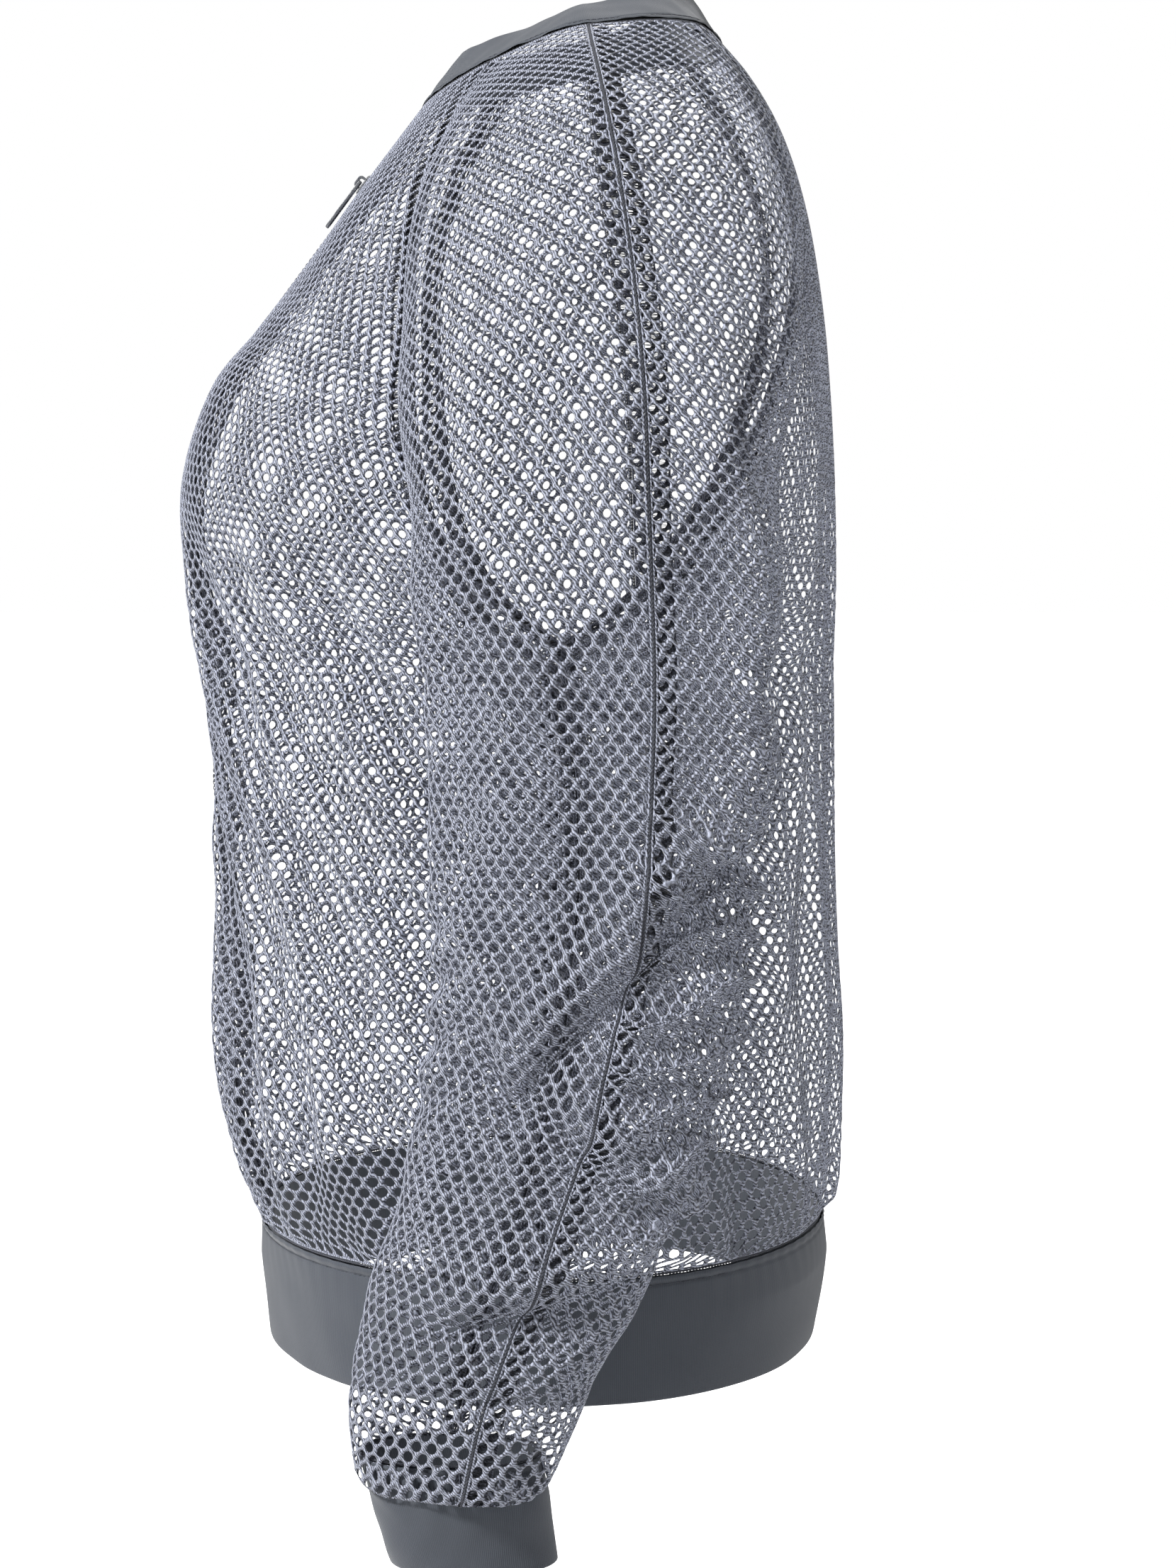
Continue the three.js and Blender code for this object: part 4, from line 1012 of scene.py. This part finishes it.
def stockinette_band(name, surface, stations, width, crumple, closed=False, mirror=False):
    """A band of knit folded in half: from the seam down the outside, round the fold, and up inside."""
    profile = band_profile(width, KNIT)
    t, w = np.meshgrid(stations, profile[:, 0] / width, indexing="ij")
    h = np.broadcast_to(profile[:, 1], t.shape).copy()
    step = 1e-3
    along = surface(t + step, w) - surface(np.maximum(t - step, 0), w)
    down = surface(t, w + step) - surface(t, w - step)
    normal = np.cross(along, down)
    normal /= np.linalg.norm(normal, axis=2, keepdims=True)
    base = surface(t, w)
    middle = base.mean(axis=(0, 1))
    normal *= np.sign(((base - middle) * normal).sum())
    run = np.concatenate([[0], np.cumsum(np.linalg.norm(np.diff(base[:, 0], axis=0), axis=1))])
    if not closed:
        from_end = np.minimum(run, run[-1] - run)
        h *= np.sqrt(np.clip(1 - (1 - np.clip(from_end / KNIT, 0, 1)) ** 2, 0, 1))[:, None]
    # The ends beside the zip lie flat, so the slider clears them.
    clear = smooth(from_end, 0.004, 0.014)[:, None] if not closed else 1.0
    flat_height = np.clip(h, -KNIT / 2, KNIT / 2)
    rise = h - flat_height + crumple(run[:, None], (profile[:, 0] / width)[None, :], base)
    h = flat_height + clear * rise
    points = base + normal * h[..., None]
    if mirror:
        points = points * (-1, 1, 1)
    rows, columns = t.shape
    around = rows if closed else rows - 1
    i, j = (g.ravel() for g in np.meshgrid(np.arange(around), np.arange(columns - 1), indexing="ij"))
    k = (i + 1) % rows
    faces = np.stack([i * columns + j, k * columns + j, k * columns + j + 1, i * columns + j + 1], axis=1)
    lengths = np.append(run, run[-1] + np.linalg.norm(base[0, 0] - base[-1, 0])) if closed else run
    depth = np.concatenate([[0], np.cumsum(np.linalg.norm(np.diff(profile, axis=0), axis=1))])
    cloth = np.stack([np.stack([lengths[a], depth[b]], -1) for a, b in
                      ((i, j), (i + 1, j), (i + 1, j + 1), (i, j + 1))], axis=1)
    flat = points.reshape(-1, 3)
    corner = flat[faces]
    out = np.cross(corner[:, 1] - corner[:, 0], corner[:, 3] - corner[:, 0])
    outside = j < len(profile) // 3
    if (out[outside] * (corner[outside, 0] - flat.mean(axis=0))).sum() < 0:
        faces, cloth = faces[:, ::-1], cloth[:, ::-1]
    size = (float(lengths[-1]), float(depth[-1]))
    ob = mesh_object(name, flat, faces, (cloth / max(size)).reshape(-1, 2), cloth.reshape(-1, 2))
    return ob, size


def neck_crumple(run, w, place):
    soft = 0.25 * MM * wander(place, 0.035, 61) + 0.20 * MM * wander(place, 0.014, 63)
    return soft + 0.12 * MM * np.sin(run * 2 * np.pi / 0.009) * np.exp(-w / 0.25)


def hem_crumple(run, w, place):
    slack = 0.8 * MM * wander(place, 0.11, 71) + 0.30 * MM * wander(place, 0.035, 73)
    slack = slack + 4.5 * MM * smooth(place[..., 1], 0.06, 0.14) * (1 - 0.5 * w)
    gathers = 0.30 * MM * np.sin(run * 2 * np.pi / 0.011 + 2 * wander(place, 0.05, 75)) * np.exp(-w / 0.20)
    return slack * np.minimum(w * 3, 1) + gathers


def cuff_crumple(run, w, place):
    slack = 0.55 * MM * wander(place, 0.045, 81) + 0.25 * MM * wander(place, 0.018, 83)
    pulled = (place[..., 1] + 0.45 * place[..., 2] + 0.31) * 2 * np.pi / 0.0125
    creases = 0.60 * MM * np.sin(pulled + 1.5 * wander(place, 0.03, 85)) * bump(w - 0.22, 0.2)
    return slack * np.minimum(w * 4, 1) + creases


stations = np.concatenate([[0, 0.0006, 0.0015, 0.003], np.linspace(0.006, 1.994, 330),
                           [1.997, 1.9985, 1.9994, 2]])
for name, surface, width, crumple in (("neckband", neckband_surface, NECKBAND_WIDTH, neck_crumple),
                                      ("hem_band", hem_band_surface, HEM_BAND_WIDTH, hem_crumple)):
    ob, size = stockinette_band(name + "_knit", both_sides(surface), stations, width, crumple)
    finish_piece(ob, KNIT_BAND, "jacket", [name])
for side in ("left", "right"):
    round_the_wrist = np.linspace(0, 1, 121)[:-1] + 1e-3
    ob, size = stockinette_band(f"cuff_{side}_knit", cuff_surface, round_the_wrist, CUFF_WIDTH, cuff_crumple,
                                closed=True, mirror=side == "right")
    finish_piece(ob, KNIT_BAND, "jacket", [f"cuff_{side}"])

# ---------------------------------------------------------------- seams


def resampled(line, step):
    """The line with its points an even step apart."""
    run = np.concatenate([[0], np.cumsum(np.linalg.norm(np.diff(line, axis=0), axis=1))])
    even = np.linspace(0, run[-1], max(int(run[-1] / step), 4) + 1)
    return np.stack([np.interp(even, run, line[:, c]) for c in range(3)], axis=1)


def seam_cord(line):
    """Two plies of thread laid round each other along a seam."""
    line = resampled(line, 0.7 * MM)
    along = np.gradient(line, axis=0)
    along /= np.linalg.norm(along, axis=1, keepdims=True)
    first = np.cross(along, (0.31, 0.17, 0.94))
    first /= np.linalg.norm(first, axis=1, keepdims=True)
    second = np.cross(along, first)
    turn = (np.arange(len(line)) * 0.7 * 2 * np.pi / 3.6)[:, None]
    parts = []
    for ply in (0, np.pi):
        lay = (np.cos(turn + ply) * first + np.sin(turn + ply) * second) * 0.32 * MM
        parts.append(tube(line + lay, 0.36 * MM, 5))
    return parts


def overlock(cut, near, far, t):
    """Close zigzag stitches over the turned-in edge, between distances near and far from a panel's edge."""
    t = np.arange(t[0], t[1], 0.75 * MM)
    s = np.where(np.arange(len(t)) % 2 == 0, near(t), far(t))
    s = np.clip(s, -cut.width_at(t) if cut.both else 0, cut.width_at(t))
    return [tube(cut.point(s, t, -LAYER), 0.34 * MM, 4)]


def joined(parts):
    points, faces, uv, count = [], [], [], 0
    for p, f, m in parts:
        points.append(p)
        faces.append(f + count)
        uv.append(m)
        count += len(p)
    return np.concatenate(points), np.concatenate(faces), np.concatenate(uv)


def thread_piece(name, parts, node=None):
    points, faces, uv = joined(parts)
    ob = mesh_object(name, points, faces, None, (uv * (0.3, 0.003)).reshape(-1, 2))
    return finish_piece(ob, THREAD, "jacket", [node] if node else [])


def stretch(cut, start, end, last=True):
    """Part of a cut's edge, from one share of the way down it to another."""
    return cut.edge(start + np.linspace(0, 1, 400) * (end - start), last)


def inside(cut, near, far, sign=1):
    """Distances across a cut that are near and far (in millimetres) inside its last edge, or its first."""
    return lambda t: sign * (cut.width_at(t) - near * MM), lambda t: sign * (cut.width_at(t) - far * MM)


for side, sign in (("left", 1), ("right", -1)):
    front, sleeve_front, sleeve_back = (cuts[part, side] for part in ("front", "sleeve_front", "sleeve_back"))
    left = side == "left"
    overarm = seam_cord((sleeve_front.edge(np.linspace(0, 1, 400), False)
                         + sleeve_back.edge(np.linspace(0, 1, 400), False)) / 2)
    overarm += overlock(sleeve_back, lambda t: 0 * t + 1.5 * MM, lambda t: 0 * t + 9.5 * MM,
                        (2 * MM, sleeve_back.height - 2 * MM))
    thread_piece(f"overarm_stitching_{side}", overarm, f"overarm_seam_{side}")
    parts = seam_cord((stretch(front, 0, THROAT) + stretch(sleeve_front, 0, ARMPIT)) / 2)
    parts += overlock(front, *inside(front, 1.5, 9.5), (2 * MM, front.t_at(THROAT)))
    thread_piece(f"front_raglan_stitching_{side}", parts, f"front_raglan_seam_{side}")
    parts = seam_cord((stretch(back_cut, 0, THROAT, left) + stretch(sleeve_back, 0, ARMPIT)) / 2)
    parts += overlock(back_cut, *inside(back_cut, 1.5, 9.5, sign), (2 * MM, back_cut.t_at(THROAT)))
    thread_piece(f"back_raglan_stitching_{side}", parts, f"back_raglan_seam_{side}")
    parts = seam_cord((stretch(front, THROAT, 1) + stretch(back_cut, THROAT, 1, left)) / 2)
    parts += overlock(front, *inside(front, 1.5, 8.5), (front.t_at(THROAT), front.height - 2 * MM))
    thread_piece(f"side_stitching_{side}", parts, f"side_seam_{side}")
    parts = seam_cord((stretch(sleeve_front, ARMPIT, 1) + stretch(sleeve_back, ARMPIT, 1)) / 2)
    parts += overlock(sleeve_front, *inside(sleeve_front, 1.5, 6.5),
                      (sleeve_front.t_at(ARMPIT), sleeve_front.height - 2 * MM))
    thread_piece(f"underarm_stitching_{side}", parts, f"underarm_seam_{side}")
    thread_piece(f"cuff_stitching_{side}", seam_cord(cuff_seam(np.linspace(0, 1, 400)) * (sign, 1, 1)),
                 f"cuff_seam_{side}")

round_the_body = np.linspace(0.0, 2.0, 900)
thread_piece("neck_stitching", seam_cord(both_sides(neck_seam)(round_the_body)), "neck_seam")
thread_piece("hem_stitching", seam_cord(both_sides(hem_seam)(round_the_body)), "hem_seam")


def stitch_line(line, out, long=2.2 * MM, gap=0.7 * MM, radius=0.17 * MM):
    """Single stitches along a line: each dips into the cloth at both ends. out: outward at each point."""
    run = np.concatenate([[0], np.cumsum(np.linalg.norm(np.diff(line, axis=0), axis=1))])
    parts = []
    for start in np.arange(1 * MM, run[-1] - long, long + gap):
        at = start + np.linspace(0, long, 6)
        place = np.stack([np.interp(at, run, line[:, c]) for c in range(3)], axis=1)
        up = np.stack([np.interp(at, run, out[:, c]) for c in range(3)], axis=1)
        lift = radius * 1.6 * (np.sin(np.linspace(0, np.pi, 6)) - 0.25)
        parts.append(tube(place + up * lift[:, None], radius, 4))
    return parts


def band_stitches(surface, w, stand):
    t = np.linspace(0.004, 1.996, 700)
    whole = both_sides(surface)
    line = whole(t, 0 * t + w)
    along = np.gradient(line, axis=0)
    down = whole(t, 0 * t + w + 0.01) - whole(t, 0 * t + w - 0.01)
    out = np.cross(along, down)
    out /= np.linalg.norm(out, axis=1, keepdims=True)
    out *= np.sign((out * (line - line.mean(axis=0))).sum())
    return stitch_line(line + out * stand, out)


thread_piece("hem_band_topstitch", band_stitches(hem_band_surface, 4.6 / 58, KNIT / 2 - 0.05 * MM))
thread_piece("neckband_topstitch", band_stitches(neckband_surface, 4.6 / 32, KNIT / 2 - 0.05 * MM))

# ---------------------------------------------------------------- the front zip

TEETH_PITCH = 2.3 * MM
TAPE_BACK = 1.55 * MM  # behind the middle of the cloth
SLIDER_DOWN = 77 * MM


def zip_line():
    """The centre front from the top of the neckband to the bottom of the hem band, and outward along it."""
    w = np.linspace(1, 0, 20)
    top = neckband_surface(0 * w, w)
    chest = cuts["front", "left"].edge(np.linspace(0, 1, 300), False)
    bottom = hem_band_surface(0 * w, w[::-1])
    line = np.concatenate([top[:-1], chest, bottom[1:]])
    line[:, 0] = 0
    line = resampled(line, 1 * MM)
    for _ in range(3):
        line[1:-1] = (line[:-2] + 2 * line[1:-1] + line[2:]) / 4
    along = np.gradient(line, axis=0)
    along /= np.linalg.norm(along, axis=1, keepdims=True)
    out = np.stack([0 * along[:, 0], along[:, 2], -along[:, 1]], axis=1)
    run = np.concatenate([[0], np.cumsum(np.linalg.norm(np.diff(line, axis=0), axis=1))])
    return line, along, out, run


ZIP, ZIP_ALONG, ZIP_OUT, ZIP_RUN = zip_line()
ZIP_LENGTH = ZIP_RUN[-1]


def on_zip(run, x, out):
    """Points at distances run down the zip, x across it and out from it."""
    place, lift = (np.stack([np.interp(run, ZIP_RUN, table[:, c]) for c in range(3)], axis=-1)
                   for table in (ZIP, ZIP_OUT))
    return place + lift * np.asarray(out)[..., None] + np.asarray(x)[..., None] * (1.0, 0, 0)


def make_tape(side, sign):
    """Woven tape with a bead along its inner edge, one closed strip."""
    run = np.linspace(0.4 * MM, ZIP_LENGTH - 0.4 * MM, 420)
    x = np.array([1.0, 0.5, 0.5, 1.0, 1.8, 3.4, 6.0, 8.5, 11, 12.6, 13.0, 13.0, 12.6, 11, 8.5, 6.0, 3.4,
                  1.8]) * MM
    out = np.array([0.75, 0.3, -0.3, -0.75, -0.45, -0.25, -0.25, -0.25, -0.25, -0.25, -0.1, 0.1, 0.25, 0.25,
                    0.25, 0.25, 0.25, 0.45]) * MM
    r, section = np.meshgrid(run, np.arange(len(x)), indexing="ij")
    wave = 0.15 * MM * np.sin(r * 2 * np.pi / 0.019 + sign) * (x[section] > 9 * MM)
    back = TAPE_BACK * np.minimum(x[section] / (4 * MM), 1)
    points = on_zip(r, sign * x[section], out[section] - back + wave)
    n, m = r.shape
    i, j = (g.ravel() for g in np.meshgrid(np.arange(n - 1), np.arange(m), indexing="ij"))
    k = (j + 1) % m
    faces = np.stack([i * m + j, (i + 1) * m + j, (i + 1) * m + k, i * m + k], axis=1)
    cloth = np.stack([np.stack([x[a], run[b]], -1) for a, b in
                      ((j, i), (j, i + 1), (k, i + 1), (k, i))], axis=1)
    if sign < 0:
        faces, cloth = faces[:, ::-1], cloth[:, ::-1]
    ob = mesh_object(f"zip_tape_{side}_woven", points.reshape(-1, 3), faces, None, cloth.reshape(-1, 2))
    finish_piece(ob, TAPE, "jacket", [f"zip_tape_{side}"])


def tooth_shape():
    """One moulded tooth: X from the centre towards the tape, Y along the zip, Z out."""
    build = bmesh.new()
    bmesh.ops.create_cube(build, size=1)
    for v in build.verts:
        head = v.co.x < 0
        v.co.x = -0.55 * MM if head else 3.3 * MM
        v.co.y *= (1.0 if head else 1.75) * MM
        v.co.z *= (2.0 if head else 2.4) * MM
    bmesh.ops.bevel(build, geom=build.edges[:], offset=0.28 * MM, segments=2, affect="EDGES", profile=0.6)
    bmesh.ops.triangulate(build, faces=build.faces[:])
    points = np.array([v.co for v in build.verts])
    faces = np.array([[v.index for v in f.verts] for f in build.faces])
    build.free()
    return points, faces


def make_teeth(side, sign):
    tooth, tooth_faces = tooth_shape()
    if sign < 0:
        tooth_faces = tooth_faces[:, ::-1]
    start = 6 * MM + (0 if sign > 0 else TEETH_PITCH / 2)
    at = np.arange(start, ZIP_LENGTH - 10 * MM, TEETH_PITCH)
    parted = 0.95 * MM * (1 - smooth(at, SLIDER_DOWN - 4 * MM, SLIDER_DOWN + 4 * MM))
    points = on_zip(at[:, None] + tooth[None, :, 1], sign * (tooth[None, :, 0] + parted[:, None]),
                    np.broadcast_to(tooth[:, 2], (len(at), len(tooth))))
    faces = (tooth_faces[None] + np.arange(len(at))[:, None, None] * len(tooth)).reshape(-1, 3)
    ob = mesh_object(f"zip_teeth_{side}_moulded", points.reshape(-1, 3), faces)
    finish_piece(ob, TEETH, "jacket", [f"zip_teeth_{side}"])


def rounded_plate(outlines, low, high, bevel):
    """A plate from outlines (first the outside, then the holes), in millimetres, with soft edges."""
    curve = bpy.data.curves.new("plate", "CURVE")
    curve.dimensions, curve.fill_mode = "2D", "BOTH"
    for outline in outlines:
        spline_2d = curve.splines.new("POLY")
        spline_2d.points.add(len(outline) - 1)
        for point, (x, y) in zip(spline_2d.points, outline):
            point.co = (x * MM, y * MM, 0, 1)
        spline_2d.use_cyclic_u = True
    curve.extrude = (high - low) / 2 * MM - bevel * MM
    curve.bevel_depth, curve.bevel_resolution = bevel * MM, 2
    curve.offset = -bevel * MM
    ob = bpy.data.objects.new("plate", curve)
    bpy.context.scene.collection.objects.link(ob)
    bpy.context.view_layer.update()
    mesh = bpy.data.meshes.new_from_object(ob.evaluated_get(bpy.context.evaluated_depsgraph_get()))
    mesh.transform(Matrix.Translation((0, 0, (low + high) / 2 * MM)))
    bpy.data.objects.remove(ob)
    return mesh


def rounded(corners, radius=0.8, steps=4):
    """The outline with its corners rounded."""
    found = []
    n = len(corners)
    for k in range(n):
        before, here, after = (Vector(corners[i % n]) for i in (k - 1, k, k + 1))
        room = min(radius, (before - here).length / 2.2, (after - here).length / 2.2)
        a, b = here + (before - here).normalized() * room, here + (after - here).normalized() * room
        for q in np.linspace(0, 1, steps):
            found.append(tuple(a * (1 - q) ** 2 + here * 2 * q * (1 - q) + b * q**2))
    return found


def metal_piece(name, meshes, place, node, body):
    """Plates joined into one enamelled piece and set in place. meshes: [(mesh, matrix or None)]."""
    build = bmesh.new()
    for mesh, turn in meshes:
        if turn is not None:
            mesh.transform(turn)
        build.from_mesh(mesh)
    bmesh.ops.remove_doubles(build, verts=build.verts[:], dist=1e-6)
    bmesh.ops.recalc_face_normals(build, faces=build.faces[:])
    mesh = bpy.data.meshes.new(name)
    build.to_mesh(mesh)
    build.free()
    for polygon in mesh.polygons:
        polygon.use_smooth = False
    ob = bpy.data.objects.new(name, mesh)
    ob.matrix_world = place
    bpy.context.scene.collection.objects.link(ob)
    return finish_piece(ob, ENAMEL, body, [node])


def frame_on(point, up):
    """Y up along the zip, Z out from the chest."""
    up = Vector(up).normalized()
    across = Vector((1, 0, 0))
    return Matrix.Translation(Vector(point)) @ Matrix((across, up, across.cross(up))).transposed().to_4x4()


PLATE_OUT, PLATE_FACE, PLATE_BACK = 1.55, 2.65, -2.2
PULL_AXIS = 4.4
slider_frame = frame_on(on_zip(0.0, 0.0, 0.0) - CHEST_UP * SLIDER_DOWN, CHEST_UP)
for side, sign in (("left", 1), ("right", -1)):
    make_tape(side, sign)
    make_teeth(side, sign)

slider_outline = rounded([(-3.7, -5.5), (3.7, -5.5), (4.7, 1), (4.7, 4), (1.4, 5.5), (-1.4, 5.5),
                          (-4.7, 4), (-4.7, 1)], 1.2)
post_outline = [(-0.5, 0.5), (0.5, 0.5), (0.5, 4.4), (-0.5, 4.4)]
FLANGE_FOOT = PLATE_OUT - 0.25  # clear of the teeth, which stand 1.2 out
flange = [[(-4.7, 1), (-3.7, -5.2), (-3.0, -5.2), (-3.9, 1), (-3.7, 4.2), (-4.7, 3.8)]]
flange_right = [[(-x, y) for x, y in flange[0]][::-1]]
arch_outline = [(-3.2, 0), (-3.2, 2.7), (-2.0, 3.9), (2.0, 3.9), (3.2, 2.7), (3.2, 0), (2.0, 0), (2.0, 2.1),
                (1.4, 2.7), (-1.4, 2.7), (-2.0, 2.1), (-2.0, 0)]
stand_arch = (Matrix.Translation((0, 0, (PLATE_FACE - 0.1) * MM)) @ Matrix.Rotation(math.pi / 2, 4, "Z")
              @ Matrix.Rotation(math.pi / 2, 4, "X"))
metal_piece("zip_slider_cast", [
    (rounded_plate([slider_outline], PLATE_OUT, PLATE_FACE, 0.35), None),
    (rounded_plate([slider_outline], PLATE_BACK - 1.1, PLATE_BACK, 0.35), None),
    (rounded_plate(flange, FLANGE_FOOT, PLATE_FACE - 0.2, 0.15), None),
    (rounded_plate(flange_right, FLANGE_FOOT, PLATE_FACE - 0.2, 0.15), None),
    (rounded_plate([post_outline], PLATE_BACK - 0.5, PLATE_OUT + 0.5, 0.1), None),
    (rounded_plate([rounded(arch_outline, 0.6)], -1.0, 1.0, 0.3), stand_arch),
], slider_frame, "zip_slider", "slider")

tab = rounded([(-2.5, 0.6), (-3.2, 0), (-2.7, -6.6), (-3.2, -19), (-3.2, -25), (-2.2, -27), (2.2, -27),
               (3.2, -25), (3.2, -19), (2.7, -6.6), (3.2, 0), (2.5, 0.6)], 1.2)
slot_hole = [(-1.35, -4.6), (-1.35, -0.6), (1.35, -0.6), (1.35, -4.6)]
window = rounded([(-1.7, -24.8), (-1.7, -10), (1.7, -10), (1.7, -24.8)][::-1], 1.0)
metal_piece("zip_pull_cast", [
    (rounded_plate([tab, slot_hole, window], PULL_AXIS - 0.65, PULL_AXIS + 0.65, 0.25), None),
    (rounded_plate([[(x * 1.05, y) for x, y in window]], PULL_AXIS - 0.35, PULL_AXIS + 0.35, 0.1), None),
], slider_frame, "zip_pull", "pull")

top_frame = frame_on(on_zip(0.0, 0.0, 0.0), CHEST_UP)
for side, sign in (("left", 1), ("right", -1)):
    low, high = sorted((sign * 0.9, sign * 3.4))
    stop = rounded([(low, -3.65), (high, -3.65), (high, -1.05), (low, -1.05)], 0.5)
    metal_piece(f"zip_top_stop_{side}_cast", [(rounded_plate([stop], -1.5, 1.5, 0.3), None)], top_frame,
                f"zip_top_stop_{side}", "jacket")
bottom_frame = frame_on(on_zip(ZIP_LENGTH, 0.0, 0.0), -ZIP_ALONG[-1])
box_outline = rounded([(-3.4, 0.4), (3.4, 0.4), (3.4, 8), (2.85, 8), (2.85, 1.6), (0.55, 1.6), (0.55, 8),
                       (-3.4, 8)], 0.5)
metal_piece("zip_retainer_box_cast", [(rounded_plate([box_outline], -1.9, 1.9, 0.3), None)], bottom_frame,
            "zip_retainer_box", "jacket")
pin_outline = rounded([(0.9, 1.95), (2.5, 1.95), (2.5, 8.6), (0.9, 8.6)], 0.4)
metal_piece("zip_insertion_pin_cast", [(rounded_plate([pin_outline], -0.8, 0.8, 0.25), None)], bottom_frame,
            "zip_insertion_pin", "jacket")

for side, sign in (("left", 1), ("right", -1)):
    run = np.linspace(NECKBAND_WIDTH + 3 * MM, ZIP_LENGTH - HEM_BAND_WIDTH - 3 * MM, 500)
    line = on_zip(run, sign * 7.5 * MM + 0 * run, 0.55 * MM + 0 * run)
    thread_piece(f"zip_topstitch_{side}", stitch_line(line, on_zip(run, 0 * run, 1.0 + 0 * run) -
                                                      on_zip(run, 0 * run, 0 * run)))

# ---------------------------------------------------------------- stage and light


def make_stage():
    """A pale floor that glows only as the camera sees it, so it has no horizon and casts little light."""
    floor = bpy.data.objects.new("floor", bpy.data.meshes.new("floor"))
    build = bmesh.new()
    bmesh.ops.create_grid(build, x_segments=1, y_segments=1, size=30)
    build.to_mesh(floor.data)
    build.free()
    floor.location.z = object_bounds()[0].z - 0.25
    material, tree, shader = new_material("Pale floor", Roughness=0.9)
    shader.inputs["Base Color"].default_value = (0.86, 0.86, 0.86, 1)
    shader.inputs["Emission Color"].default_value = (1, 1, 1, 1)
    seen = tree.nodes.new("ShaderNodeLightPath").outputs["Is Camera Ray"]
    tree.links.new(maths(tree, "ADD", 0.02, seen), shader.inputs["Emission Strength"])
    floor.data.materials.append(material)
    bpy.context.scene.collection.objects.link(floor)


def area_light(name, place, size, power):
    lamp = bpy.data.objects.new(name, bpy.data.lights.new(name, "AREA"))
    lamp.data.size = size
    lamp.data.energy = power
    lamp.location = place
    lamp.rotation_euler = (Vector((0, 0, -0.3)) - Vector(place)).to_track_quat("-Z", "Y").to_euler()
    bpy.context.scene.collection.objects.link(lamp)


def make_light():
    """A white backdrop that lights the jacket faintly, a key light from high in front, and three softer."""
    world = bpy.data.worlds.new("studio")
    world.use_nodes = True
    tree = world.node_tree
    background = tree.nodes["Background"]
    background.inputs[0].default_value = (1, 1, 1, 1)
    seen = tree.nodes.new("ShaderNodeLightPath").outputs["Is Camera Ray"]
    tree.links.new(maths(tree, "ADD", 0.13, maths(tree, "MULTIPLY", seen, 0.87)), background.inputs[1])
    bpy.context.scene.world = world
    area_light("key", (1.4, -1.9, 1.5), 0.45, 105)
    area_light("fill", (2.0, 1.6, 0.4), 1.6, 6)
    area_light("rim", (-2.0, 0.2, 1.6), 1.4, 16)
    area_light("behind", (-0.9, 2.0, 1.7), 1.4, 20)
    bpy.context.scene.view_settings.view_transform = "Standard"


make_stage()
make_light()
